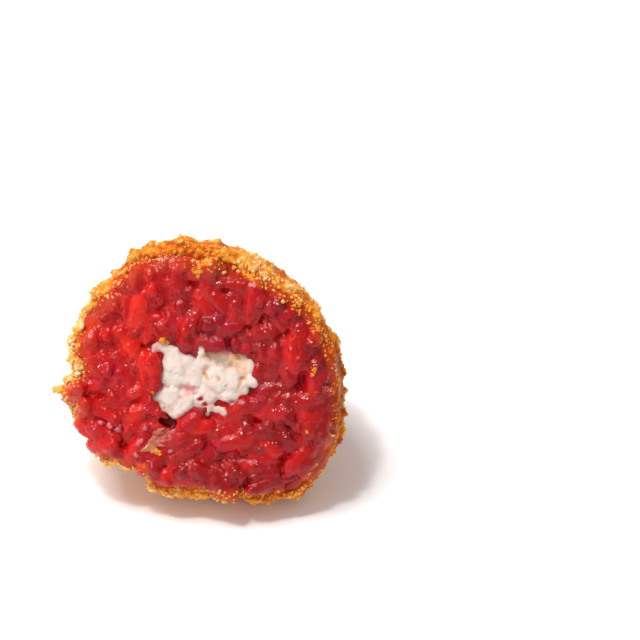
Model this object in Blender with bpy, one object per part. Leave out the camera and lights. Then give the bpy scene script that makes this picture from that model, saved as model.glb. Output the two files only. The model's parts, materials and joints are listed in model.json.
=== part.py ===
"""Half of a breaded beetroot risotto ball with a heart of goat's cheese.

The ball was pulled open a little past its middle. The half rests on its round side, on a small flat
spot, with the open face leaning back and turned to the viewer at -Y. The breaded risotto is one solid,
with the crags of its crust and the grains of its face in relief. The cheese is a second solid, in a
pocket of the rice.

World frame: metres, +Z up, the floor at Z = 0, +X to the viewer's right.
Ball frame: origin at the ball's centre, +Z out of the open face, +Y up the face, +X as in the world.
"""

import math
import random

import bmesh
import bpy
from mathutils import Euler, Matrix, Vector, noise

MM = 0.001

# The ball
BALL_RADIUS = 23.4 * MM  # of the crust's mean surface, behind the face
FACE_OFFSET = 5.2 * MM  # from the ball's centre to the open face, so more than half is left
FACE_LIFT = math.radians(27)  # how far the face looks up from the horizontal
REST_DEPTH = 1.9 * MM  # how far the ball has sunk where it rests
BALL_CENTRE = Vector((0, -4.5 * MM, BALL_RADIUS - REST_DEPTH))
BALL_TURN = Euler((math.pi / 2 - FACE_LIFT, 0, 0))
# Radius of the outline seen along the ball frame's Z, each 30 degrees round from +X to +Y
OUTLINE = [
    size * MM
    for size in (23.1, 21.8, 20.9, 21.8, 22.9, 22.2, 23.3, 22.7, 21.8, 21.7, 24.4, 25.1)
]

# The crust
CRUST_THICKNESS = 2.0 * MM  # over the back
# Width of the crust at the face, each 30 degrees round from +X to +Y
CRUST_BAND = [
    size * MM for size in (1.8, 1.9, 2.1, 2.2, 2.4, 2.1, 2.5, 1.4, 1.5, 2.0, 1.7, 1.4)
]
CELLS_ACROSS = 24  # squares along each side of the cube that is rounded into the ball
LUMP_SPACING, LUMP_HEIGHT = 11 * MM, 0.6 * MM
CRAG_SPACING, CRAG_HEIGHT = 3.4 * MM, 1.5 * MM
CRAG_LEVEL = 0.45  # distance from a crag's top, in spacings, at which the crust is at its mean surface
CHIP_SPACING, CHIP_HEIGHT = 0.9 * MM, 0.45 * MM
FLATTENED_ABOVE_FLOOR = 1.6 * MM  # crags grow back over this height above the flat spot

# The broken edge
EDGE_WAVE_SPACING, EDGE_WAVE = 6 * MM, 0.6 * MM
EDGE_CHIP_SPACING, EDGE_CHIP = 1.3 * MM, 0.4 * MM
EDGE_REACH = 6 * MM  # how far behind the face its waves die out
EDGE_SLOPE = 0.2 * MM  # how far the rim of the crust drops from its outer to its inner edge
SLUMP, SLUMP_ANGLE = 1.6 * MM, math.radians(-40)  # the lower right of the face sags back

# The rice
BED_DEPTH = 1.0 * MM  # from the broken edge down to the bed that the grains stand out of
BED_SWELL = 0.9 * MM  # how far the bed rises towards the middle of the face
BED_RINGS = (1, 0.72, 0.4)  # shares of the way out from the middle of the bed
GRAIN_LENGTH, GRAIN_WIDTH = 7.6 * MM, 3.4 * MM
GRAIN_BLUNTNESS = 1.12  # how far the slant of each end is pushed out
GRAIN_TAPER, GRAIN_BEND = 0.07, 0.12  # shares of the half width, at the ends
GRAIN_COUNT = 80
GRAIN_TRIES = 160  # places tried for each grain; the emptiest one is kept
GRAIN_SIZES = (0.88, 1.1)
GRAIN_LIFT = (-0.5 * MM, 0.25 * MM)  # its middle's height above the bed
GRAIN_LEAN = math.radians(16)  # most that a grain leans out of the face
GRAIN_SPIN = math.radians(30)  # most that it is turned about its length
CRUST_MARGIN = 0.25 * GRAIN_WIDTH  # between the end of a grain's axis and the crust
CHEESE_MARGIN = 0.4 * MM  # between a grain's axis and the cheese
SEED = 7

# Grains that stand out by eye: middle across and up the face, and turn from the face's X
SHOWN_GRAINS = [
    (x * MM, y * MM, math.radians(turn))
    for x, y, turn in (
        (5.6, -11.4, 20),
        (10.8, -11.8, -22),
        (7.6, -15.6, 2),
        (4.9, 11.6, 88),
        (-11.0, 10.2, 80),
        (0.0, 10.6, -50),
        (12.0, -6.4, 4),
        (17.0, -8.0, 86),
        (-1.5, -9.6, 3),
        (-11.3, -8.0, 32),
        (-16.6, -3.0, 24),
        (-13.0, 4.6, -62),
        (14.6, 3.6, -75),
    )
]
SHOWN_LIFT, SHOWN_LEAN = 0.4 * MM, 0.3  # their height above the bed, and share of the lean

# The cheese
CHEESE_GAP = 0.3 * MM  # of air between the cheese and its pocket
CRUMBLE_SPACING, CRUMBLE = 1.7 * MM, 0.16  # the most that a lump's surface dips, as a share of its size
LUMP_FLATNESS = 0.5  # 0 is round and 0.5 as flat as a lump's top and bottom get
FINE_LUMP_SIZE = 5 * MM  # lumps wider than this have more faces
HEART_MIDDLE = Vector((0.2 * MM, -1.9 * MM, FACE_OFFSET - 5.1 * MM))
HEART_HALF_SIZE = Vector((7.6 * MM, 4.9 * MM, 5.5 * MM))
# Lumps round the heart: middle across and up the face, radius, and height above the face
CHEESE_LUMPS = [
    [size * MM for size in lump]
    for lump in (
        (-4.6, -0.1, 3.6, 0.8),
        (-6.4, 2.6, 1.8, 0.6),
        (-7.4, 3.9, 0.9, 0.4),
        (-5.2, -3.1, 2.9, 0.5),
        (-4.8, -5.2, 3.1, 0.9),
        (-7.4, -4.9, 1.5, 0.5),
        (-4.3, -7.6, 1.4, 0.6),
        (-1.5, -1.2, 3.4, 0.6),
        (2.9, -1.6, 3.7, 1.0),
        (5.6, -2.2, 2.7, 0.7),
        (8.0, -1.4, 1.2, 0.7),
        (3.6, -4.6, 3.0, 0.6),
        (1.3, -5.6, 2.0, 0.2),
        (-0.3, 1.9, 1.7, 0.3),
        (-0.5, 3.5, 1.1, 0.7),
        (3.9, 2.2, 2.6, -1.7),
        (6.2, 0.8, 2.2, -0.9),
    )
]
# Hollows in the rice over the sunken cheese and under its lower edge, as the lumps are given
HOLLOWS = [
    [size * MM for size in hollow]
    for hollow in ((2.7, 2.8, 2.2, 3.1), (5.5, 2.5, 2.3, 3.2), (-6.2, -8.9, 1.3, 2.0))
]

# Colours: base colour and roughness
CRUST_LOOK = ((0.62, 0.26, 0.08, 1.0), 0.75)
RICE_LOOK = ((0.48, 0.025, 0.025, 1.0), 0.3)
CHEESE_LOOK = ((0.84, 0.72, 0.62, 1.0), 0.6)


def clear_scene():
    """Removes the startup objects."""
    for obj in list(bpy.data.objects):
        bpy.data.objects.remove(obj)


def collection(name):
    """A new collection in the scene."""
    made = bpy.data.collections.new(name)
    bpy.context.scene.collection.children.link(made)
    return made


def material(name, look):
    """A Principled BSDF material of one colour and roughness."""
    colour, roughness = look
    made = bpy.data.materials.new(name)
    made.use_nodes = True
    shader = made.node_tree.nodes["Principled BSDF"]
    shader.inputs["Base Color"].default_value = colour
    shader.inputs["Roughness"].default_value = roughness
    made.diffuse_color = colour
    return made


def mesh_of(name, bm):
    """A mesh made from a bmesh, which is freed."""
    bmesh.ops.recalc_face_normals(bm, faces=bm.faces[:])
    mesh = bpy.data.meshes.new(name)
    bm.to_mesh(mesh)
    bm.free()
    return mesh


def placed(name, mesh, group):
    """An object of this mesh, in the group."""
    made = bpy.data.objects.new(name, mesh)
    group.objects.link(made)
    return made


def combine(body, operation, group):
    """Applies one Boolean of the body with all objects of a collection, then removes them."""
    boolean = body.modifiers.new(operation.lower(), "BOOLEAN")
    boolean.operation = operation
    boolean.operand_type = "COLLECTION"
    boolean.collection = group
    boolean.solver = "EXACT"
    bpy.context.view_layer.update()
    graph = bpy.context.evaluated_depsgraph_get()
    mesh = bpy.data.meshes.new_from_object(body.evaluated_get(graph))
    body.modifiers.clear()
    body.data = mesh
    for obj in list(group.objects):
        bpy.data.objects.remove(obj)
    bpy.data.collections.remove(group)


def shells_of(bm):
    """The faces of a bmesh in lists, one for each closed shell."""
    unseen = set(bm.faces)
    shells = []
    while unseen:
        shell = [unseen.pop()]
        for face in shell:
            for edge in [edge for edge in face.edges if edge.is_manifold]:
                found = unseen.intersection(edge.link_faces)
                unseen -= found
                shell.extend(found)
        shells.append(shell)
    return shells


def keep_outside(body):
    """Fills the hollows shut in between joined pieces, by keeping only the largest shell of faces."""
    bm = bmesh.new()
    bm.from_mesh(body.data)
    shells = sorted(shells_of(bm), key=len)
    for shell in shells[:-1]:
        bmesh.ops.delete(bm, geom=shell, context="FACES")
    bm.to_mesh(body.data)
    bm.free()


def smooth(value):
    """Eases from 0 to 1 as the value goes from 0 to 1."""
    value = min(max(value, 0), 1)
    return value * value * (3 - 2 * value)


def around(table, x, y):
    """A size from a table of evenly spaced angles, eased between its entries."""
    turn = math.atan2(y, x) / (2 * math.pi) * len(table)
    low = math.floor(turn)
    share = smooth(turn - low)
    return table[low % len(table)] * (1 - share) + table[(low + 1) % len(table)] * share


def height_above_floor(point):
    """World height of a point of the ball frame."""
    return (BALL_TURN.to_matrix() @ point + BALL_CENTRE).z


def crag(point):
    """Height of the crust's relief at a point of the plain ball."""
    lump = LUMP_HEIGHT * noise.noise(point / LUMP_SPACING)
    from_top = noise.voronoi(point / CRAG_SPACING)[0][0]
    chip = CHIP_HEIGHT * noise.noise(point / CHIP_SPACING)
    relief = lump + CRAG_HEIGHT * (CRAG_LEVEL - from_top) + chip
    return relief * smooth(height_above_floor(point) / FLATTENED_ABOVE_FLOOR)


def ball_point(direction):
    """Where a line from the ball's centre meets the crust."""
    width = direction.x**2 + direction.y**2
    radius = BALL_RADIUS * (1 - width) + around(OUTLINE, direction.x, direction.y) * width
    return direction * (radius + crag(direction * radius))


def face_sway(x, y):
    """How far the broken face stands above the plane of a clean cut."""
    out = math.hypot(x, y) / BALL_RADIUS
    facing = max(math.cos(math.atan2(y, x) - SLUMP_ANGLE), 0)
    wave = EDGE_WAVE * noise.noise(Vector((x, y, 0)) / EDGE_WAVE_SPACING)
    return wave - SLUMP * facing**3 * out**3


def broken(point):
    """Bends the ball near the face, so that its edge follows the face's sway."""
    share = smooth(1 + (point.z - FACE_OFFSET) / EDGE_REACH)
    return point + Vector((0, 0, share * face_sway(point.x, point.y)))


def chipped(point):
    """A vertex of the broken edge, moved a little for the crumbs that came off it."""
    return point + Vector((0, 0, EDGE_CHIP * noise.noise(point / EDGE_CHIP_SPACING)))


def rice_radius(x, y):
    """Distance from the middle of the face to the inside of the crust, in this direction."""
    edge = around(OUTLINE, x, y) ** 2 - FACE_OFFSET**2
    return math.sqrt(edge) - around(CRUST_BAND, x, y)


def bed_height(x, y):
    """How far the bed of the rice stands along the ball frame's Z."""
    share = math.hypot(x, y) / BALL_RADIUS
    return FACE_OFFSET + face_sway(x, y) - BED_DEPTH + BED_SWELL * (1 - share**2)


def on_bed(point, share):
    """A point of the bed, this share of the way out from its middle to the crust."""
    out = Vector((point.x, point.y)).normalized() * rice_radius(point.x, point.y) * share
    return Vector((out.x, out.y, bed_height(out.x, out.y)))


def crust_inside(point):
    """The inner edge of the crust's rim, opposite a point of its outer edge."""
    inner = on_bed(point, 1)
    return Vector((inner.x, inner.y, point.z - EDGE_SLOPE))


def slice_off(bm, point, normal):
    """Removes what lies past a plane, and returns the edges of the hole."""
    geometry = bm.verts[:] + bm.edges[:] + bm.faces[:]
    cut = bmesh.ops.bisect_plane(
        bm, geom=geometry, plane_co=point, plane_no=normal, clear_outer=True
    )
    return [item for item in cut["geom_cut"] if isinstance(item, bmesh.types.BMEdge)]


def next_ring(bm, edges, place):
    """Extrudes an open ring of edges, puts each new vertex where a rule says, and returns the new ring."""
    made = bmesh.ops.extrude_edge_only(bm, edges=edges)["geom"]
    for item in made:
        if isinstance(item, bmesh.types.BMVert):
            item.co = place(item.co)
    return [item for item in made if isinstance(item, bmesh.types.BMEdge) and item.is_boundary]


def make_round_ball():
    """A bmesh of the whole crust: a cube rounded into a ball, with crags."""
    bm = bmesh.new()
    bmesh.ops.create_cube(bm, size=2)
    bmesh.ops.subdivide_edges(bm, edges=bm.edges[:], cuts=CELLS_ACROSS - 1, use_grid_fill=True)
    for vertex in bm.verts:
        # The tangent evens out the squares that rounding a cube would bunch up at its corners.
        even = Vector(math.tan(side * math.pi / 4) for side in vertex.co)
        vertex.co = ball_point(even.normalized())
    return bm


def make_half(group):
    """The breaded half: craggy outside, flat spot, broken rim of crust and the bed of the rice."""
    bm = make_round_ball()
    to_ball = BALL_TURN.to_matrix().inverted()
    foot = slice_off(bm, to_ball @ -BALL_CENTRE, to_ball @ Vector((0, 0, -1)))
    bmesh.ops.edgeloop_fill(bm, edges=foot)
    rim = slice_off(bm, Vector((0, 0, FACE_OFFSET)), Vector((0, 0, 1)))
    for vertex in bm.verts:
        vertex.co = broken(vertex.co)
    for vertex in {vertex for edge in rim for vertex in edge.verts}:
        vertex.co = chipped(vertex.co)
    rim = next_ring(bm, rim, crust_inside)
    for share in BED_RINGS:
        rim = next_ring(bm, rim, lambda point, share=share: on_bed(point, share))
    middle = bm.verts.new((0, 0, bed_height(0, 0)))
    for edge in rim:
        bm.faces.new((*edge.verts, middle))
    return placed("breaded_risotto", mesh_of("breaded_risotto", bm), group)


def grain_mesh():
    """One grain of cooked risotto rice along X: plump, blunt-ended, slightly bent and low in faces."""
    bm = bmesh.new()
    bmesh.ops.create_uvsphere(bm, u_segments=6, v_segments=4, radius=1)
    for vertex in bm.verts:
        on_slant = abs(vertex.co.z) * vertex.co.xy.length > 0.1
        across = vertex.co * (GRAIN_BLUNTNESS if on_slant else 1)
        across.xy *= 1 + GRAIN_TAPER * across.z
        across.x += GRAIN_BEND * across.z**2
        half_size = Vector((GRAIN_LENGTH, GRAIN_WIDTH, GRAIN_WIDTH)) / 2
        vertex.co = Vector((across.z, across.x, across.y)) * half_size
    return mesh_of("risotto_grain", bm)


def backbone(place):
    """The ends and middle of a grain's axis on the face."""
    x, y, turn = place
    along = Vector((math.cos(turn), math.sin(turn))) * 0.5 * (GRAIN_LENGTH - GRAIN_WIDTH)
    middle = Vector((x, y))
    return (middle - along, middle, middle + along)


def room_at(place, taken):
    """How far a grain at this place would lie from the nearest one that is already there."""
    own = backbone(place)
    return min((a - b).length for other in taken for a in own for b in other)


def fits(place):
    """Whether a grain stays inside the crust and out of the cheese."""
    ends = backbone(place)
    inside = all(end.length + CRUST_MARGIN < rice_radius(*end) for end in ends)
    in_cheese = any(
        (end - Vector((x, y))).length < radius + CHEESE_MARGIN
        for x, y, radius, _ in CHEESE_LUMPS
        for end in ends
    )
    return inside and not in_cheese


def random_place(draw):
    """A place and turn for a grain, anywhere inside a circle as wide as the ball."""
    across = BALL_RADIUS * math.sqrt(draw.random())
    angle = draw.uniform(0, 2 * math.pi)
    return (across * math.cos(angle), across * math.sin(angle), draw.uniform(0, math.pi))


def grain_places(draw):
    """Middle and turn of every grain: those that stand out, then each next one in the emptiest place."""
    places = list(SHOWN_GRAINS)
    taken = [backbone(place) for place in places]
    while len(places) < GRAIN_COUNT:
        tried = [random_place(draw) for _ in range(GRAIN_TRIES)]
        fitting = [place for place in tried if fits(place)]
        if fitting:
            best = max(fitting, key=lambda place: room_at(place, taken))
            places.append(best)
            taken.append(backbone(best))
    return places


def make_grains():
    """The grains that show on the face, each its own object, in a collection."""
    draw = random.Random(SEED)
    group = collection("grains")
    mesh = grain_mesh()
    for number, (x, y, turn) in enumerate(grain_places(draw)):
        shown = number < len(SHOWN_GRAINS)
        lift = SHOWN_LIFT if shown else draw.uniform(*GRAIN_LIFT)
        lean = draw.uniform(-GRAIN_LEAN, GRAIN_LEAN) * (SHOWN_LEAN if shown else 1)
        grain = placed(f"grain_{number}", mesh, group)
        turned = Matrix.Rotation(turn, 4, "Z") @ Matrix.Rotation(lean, 4, "Y")
        spun = turned @ Matrix.Rotation(draw.uniform(-GRAIN_SPIN, GRAIN_SPIN), 4, "X")
        place = Matrix.Translation((x, y, bed_height(x, y) + lift))
        grain.matrix_world = place @ spun @ Matrix.Scale(draw.uniform(*GRAIN_SIZES), 4)
    return group


def make_lump(name, middle, half_size, crumble, group):
    """One flattened lump of cheese. Its crumbly surface only dips below the even one."""
    bm = bmesh.new()
    faces = 3 if half_size.x > FINE_LUMP_SIZE else 2
    bmesh.ops.create_icosphere(bm, subdivisions=faces, radius=1)
    for vertex in bm.verts:
        vertex.co.z *= 1 + LUMP_FLATNESS * (1 - vertex.co.z**2)
        even = vertex.co * half_size
        dip = crumble * (0.5 + 0.5 * noise.noise((middle + even) / CRUMBLE_SPACING))
        vertex.co = middle + even * (1 - dip)
    return placed(name, mesh_of(name, bm), group)


def make_lumps(name, lumps, margin, crumble):
    """Round lumps in a collection, all larger by a margin."""
    group = collection(name)
    for number, (x, y, radius, height) in enumerate(lumps):
        middle = Vector((x, y, FACE_OFFSET + height - radius))
        half_size = Vector((1, 1, 1)) * (radius + margin)
        make_lump(f"{name}_{number}", middle, half_size, crumble, group)
    return group


def make_cheese(group):
    """The cheese: its heart, joined with the lumps that stand out of it."""
    cheese = make_lump("goats_cheese", HEART_MIDDLE, HEART_HALF_SIZE, CRUMBLE / 2, group)
    combine(cheese, "UNION", make_lumps("cheese_lumps", CHEESE_LUMPS, 0, CRUMBLE))
    keep_outside(cheese)
    return cheese


def cut_pocket(body):
    """Cuts the room for the cheese, with a gap all round it, and the hollows beside it out of the rice."""
    cutters = make_lumps("pocket", CHEESE_LUMPS, CHEESE_GAP, 0)
    half_size = HEART_HALF_SIZE + Vector((1, 1, 1)) * CHEESE_GAP
    make_lump("pocket_heart", HEART_MIDDLE, half_size, 0, cutters)
    combine(body, "DIFFERENCE", cutters)
    combine(body, "DIFFERENCE", make_lumps("hollows", HOLLOWS, 0, 0))


def is_rice(centre):
    """Whether a face of the breaded risotto is rice, and not crust."""
    across = math.hypot(centre.x, centre.y)
    behind_crust = across < rice_radius(centre.x, centre.y) - EDGE_SLOPE
    over_bed = centre.z > bed_height(centre.x, centre.y) - EDGE_SLOPE
    in_pocket = centre.length < BALL_RADIUS - 2 * CRUST_THICKNESS
    return in_pocket or (over_bed and behind_crust)


def dress(body, cheese):
    """Gives each solid its material, and the rice of the face its own."""
    body.data.materials.clear()
    body.data.materials.append(material("fried_breadcrumb", CRUST_LOOK))
    body.data.materials.append(material("beetroot_risotto", RICE_LOOK))
    for face in body.data.polygons:
        face.material_index = 1 if is_rice(face.center) else 0
    cheese.data.materials.clear()
    cheese.data.materials.append(material("fresh_goats_cheese", CHEESE_LOOK))


def stand(parts):
    """Hangs the solids on an empty at the ball's centre, which sets them down on the floor."""
    centre = placed("ball_centre", None, bpy.context.scene.collection)
    centre.location = BALL_CENTRE
    centre.rotation_euler = BALL_TURN
    for part in parts:
        part.parent = centre


def main():
    """Builds the half ball and sets it down."""
    clear_scene()
    group = collection("arancino_half")
    body = make_half(group)
    combine(body, "UNION", make_grains())
    cut_pocket(body)
    keep_outside(body)
    cheese = make_cheese(group)
    dress(body, cheese)
    stand((body, cheese))


main()
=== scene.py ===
"""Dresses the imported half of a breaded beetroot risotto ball: crust, crumbs, rice grains and cheese.

Every piece is made in the ball's own frame, with its origin at the ball's centre, +Z out of the open
face, +Y up the face and +X to the viewer's right, and is then set down in the world's frame.
"""

import json
import logging
import math
import random
from collections.abc import Callable, Iterable
from dataclasses import dataclass
from enum import Enum

import bmesh
import bpy
from bpy.types import Collection, Material, Mesh, Node, NodeSocket, NodeTree, Object
from mathutils import Euler, Matrix, Vector, noise
from mathutils.bvhtree import BVHTree

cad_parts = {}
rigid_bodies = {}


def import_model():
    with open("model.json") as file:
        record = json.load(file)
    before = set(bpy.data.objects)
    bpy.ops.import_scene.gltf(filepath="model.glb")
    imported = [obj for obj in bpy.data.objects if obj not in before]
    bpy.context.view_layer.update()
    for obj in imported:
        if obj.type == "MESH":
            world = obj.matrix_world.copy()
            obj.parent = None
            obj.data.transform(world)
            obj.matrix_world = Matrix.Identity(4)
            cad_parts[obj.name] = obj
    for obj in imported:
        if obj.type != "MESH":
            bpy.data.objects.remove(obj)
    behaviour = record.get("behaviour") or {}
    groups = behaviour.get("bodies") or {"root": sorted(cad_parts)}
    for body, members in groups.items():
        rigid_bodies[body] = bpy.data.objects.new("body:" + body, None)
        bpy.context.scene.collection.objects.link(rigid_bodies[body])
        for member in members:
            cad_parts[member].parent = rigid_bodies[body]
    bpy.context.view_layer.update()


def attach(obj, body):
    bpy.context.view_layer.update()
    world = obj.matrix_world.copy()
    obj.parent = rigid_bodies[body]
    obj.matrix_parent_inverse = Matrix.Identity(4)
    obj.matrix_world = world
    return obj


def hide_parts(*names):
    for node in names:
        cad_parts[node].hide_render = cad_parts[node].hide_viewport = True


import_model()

LOG = logging.getLogger("arancino")
MM = 0.001
ANY_TURN = 6.0  # nearly all the way round, in radians
Pair = tuple[float, float]
Triple = tuple[float, float, float]
Four = tuple[float, float, float, float]
Span = Pair  # least and greatest
Rise = Pair  # where something sets in, and the width over which it does
Colour = Four
Lumps = list[list[float]]  # for each lump its place across and up the face, its radius and its height
# Numbers of a Mix node's colour sockets
MIX_SHARE, MIX_FIRST, MIX_SECOND, MIX_RESULT = 0, 6, 7, 2
# Numbers of a Random Value node's sockets, for fractions, whole numbers and vectors
RANDOM_LOW, RANDOM_HIGH, RANDOM_FLOAT = 2, 3, 1
WHOLE_LOW, WHOLE_HIGH, WHOLE = 4, 5, 2
VECTOR_LOW, VECTOR_HIGH, VECTOR = 0, 1, 0


def linear(hex_colour: str) -> Colour:
    """Turns an sRGB hex colour into linear RGBA, by the sRGB standard's own numbers.

    Args:
        hex_colour: six hex digits.

    Returns:
        Red, green, blue and an alpha of 1.
    """
    channels = [int(hex_colour[start : start + 2], 16) / 255 for start in (0, 2, 4)]
    red, green, blue = (
        value / 12.92 if value <= 0.04045 else ((value + 0.055) / 1.055) ** 2.4 for value in channels
    )
    return (red, green, blue, 1.0)


def add_node(tree: NodeTree, kind: str, inputs: dict | None = None, **settings: object) -> Node:
    """Adds one node to a tree, with its settings and links.

    Args:
        tree: the tree that gets the node.
        kind: the node's type name.
        inputs: for an input's name or number, the socket that feeds it or its constant.
        **settings: properties of the node itself.

    Returns:
        The new node.
    """
    node = tree.nodes.new(kind)
    for name, value in settings.items():
        setattr(node, name, value)
    for name, value in (inputs or {}).items():
        if isinstance(value, NodeSocket):
            tree.links.new(value, node.inputs[name])
        else:
            node.inputs[name].default_value = value
    return node


def smooth(value: float) -> float:
    """Eases from 0 to 1 as the value goes from 0 to 1."""
    value = min(max(value, 0), 1)
    return value * value * (3 - 2 * value)


def rising(value: float, start: float, width: float) -> float:
    """Eases from 0 to 1 as the value goes from a start to a width further on."""
    return smooth((value - start) / width)


def patchy(point: Vector, spacing: float, start: float, width: float) -> float:
    """Patches of a spacing, from 0 to 1, where noise goes from a start to a width further on."""
    return rising(noise.noise(point / spacing), start, width)


def ragged(point: Vector, share: float, spacing: float) -> float:
    """A factor that strays from 1 by a share, to make an edge ragged at a spacing."""
    return 1 + share * noise.noise(point / spacing)


def around(table: tuple[float, ...], x: float, y: float) -> float:
    """Reads a size from a table of evenly spaced angles.

    Args:
        table: sizes, from +X round towards +Y.
        x: across the face.
        y: up the face.

    Returns:
        The size in that direction, eased between the table's entries.
    """
    turn = math.atan2(y, x) / math.tau * len(table)
    low = math.floor(turn)
    share = smooth(turn - low)
    return table[low % len(table)] * (1 - share) + table[(low + 1) % len(table)] * share


def in_mm(*sizes: float) -> list[float]:
    """Turns millimetres into metres."""
    return [size * MM for size in sizes]


def round_cube(cells: int) -> bmesh.types.BMesh:
    """Makes a ball of radius 1 from the squares of a cube.

    Args:
        cells: squares along each side of the cube.

    Returns:
        The ball, as a bmesh.
    """
    bm = bmesh.new()
    bmesh.ops.create_cube(bm, size=2)
    bmesh.ops.subdivide_edges(bm, edges=bm.edges[:], cuts=cells - 1, use_grid_fill=True)
    for vertex in bm.verts:
        # The tangent evens out the squares that rounding a cube would bunch up at its corners.
        vertex.co = Vector(math.tan(side * math.pi / 4) for side in vertex.co).normalized()
    return bm


def mesh_of(name: str, bm: bmesh.types.BMesh) -> Mesh:
    """Turns a bmesh into a mesh and frees it.

    Args:
        name: the mesh's name.
        bm: the bmesh.

    Returns:
        The mesh, shaded smooth and with its normals outwards.
    """
    bmesh.ops.recalc_face_normals(bm, faces=bm.faces[:])
    for face in bm.faces:
        face.smooth = True
    mesh = bpy.data.meshes.new(name)
    bm.to_mesh(mesh)
    bm.free()
    return mesh


def write_values(mesh: Mesh, name: str, values: Iterable[float]) -> None:
    """Writes an attribute with a number for each vertex, in place of any that has its name.

    Args:
        mesh: the mesh.
        name: the attribute's name.
        values: the numbers, in the order of the vertices.
    """
    if name in mesh.attributes:
        mesh.attributes.remove(mesh.attributes[name])
    mesh.attributes.new(name, "FLOAT", "POINT").data.foreach_set("value", list(values))


def helper_object(name: str, mesh: Mesh) -> Object:
    """Puts a mesh in the scene.

    Args:
        name: the object's name.
        mesh: the mesh.

    Returns:
        The object that shows it.
    """
    helper = bpy.data.objects.new(name, mesh)
    bpy.context.scene.collection.objects.link(helper)
    return helper


def evaluated_mesh(obj: Object) -> Mesh:
    """Takes an object's mesh as its modifiers leave it, and removes the modifiers.

    Args:
        obj: the object.

    Returns:
        A plain mesh.
    """
    bpy.context.view_layer.update()
    graph = bpy.context.evaluated_depsgraph_get()
    mesh = bpy.data.meshes.new_from_object(
        obj.evaluated_get(graph), preserve_all_data_layers=True, depsgraph=graph
    )
    obj.modifiers.clear()
    return mesh


def fused(mesh: Mesh, voxel: float) -> Mesh:
    """Joins everything that overlaps in a mesh into one even skin.

    Args:
        mesh: closed shapes that overlap.
        voxel: width of the new skin's cells.

    Returns:
        The new mesh.
    """
    helper = helper_object("to_fuse", mesh)
    remesh = helper.modifiers.new("fuse", "REMESH")
    remesh.mode = "VOXEL"
    remesh.voxel_size = voxel
    remesh.use_smooth_shade = True
    result = evaluated_mesh(helper)
    bpy.data.objects.remove(helper)
    return result


def joined(name: str, meshes: Iterable[Mesh]) -> Mesh:
    """Gathers copies of meshes in one, with their overlaps left as they are.

    Args:
        name: the new mesh's name.
        meshes: the meshes.

    Returns:
        The new mesh.
    """
    bm = bmesh.new()
    for mesh in meshes:
        bm.from_mesh(mesh)
    result = bpy.data.meshes.new(name)
    bm.to_mesh(result)
    bm.free()
    return result


def carved(mesh: Mesh, cutter: Mesh, operation: str = "DIFFERENCE") -> Mesh:
    """Cuts one closed mesh out of another, or joins the two.

    Args:
        mesh: what is cut.
        cutter: what it is cut with.
        operation: of the Boolean modifier.

    Returns:
        The new mesh.
    """
    body = helper_object("to_carve", mesh)
    tool = helper_object("cutter", cutter)
    cut = body.modifiers.new("cut", "BOOLEAN")
    cut.operation = operation
    cut.object = tool
    cut.solver = "MANIFOLD"
    result = evaluated_mesh(body)
    bpy.data.objects.remove(body)
    bpy.data.objects.remove(tool)
    return result


def points_mesh(name: str, places: list[dict]) -> Mesh:
    """Makes a mesh of loose points that carry where and how a shape is put at each.

    Args:
        name: the mesh's name.
        places: for each shape its middle "at", Euler "turn", "size" along its axes and "tone".

    Returns:
        The points.
    """
    mesh = bpy.data.meshes.new(name)
    mesh.from_pydata([place["at"] for place in places], [], [])
    for key in ("turn", "size"):
        values = [value for place in places for value in place[key]]
        mesh.attributes.new(key, "FLOAT_VECTOR", "POINT").data.foreach_set("vector", values)
    write_values(mesh, "tone", [place["tone"] for place in places])
    return mesh


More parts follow.
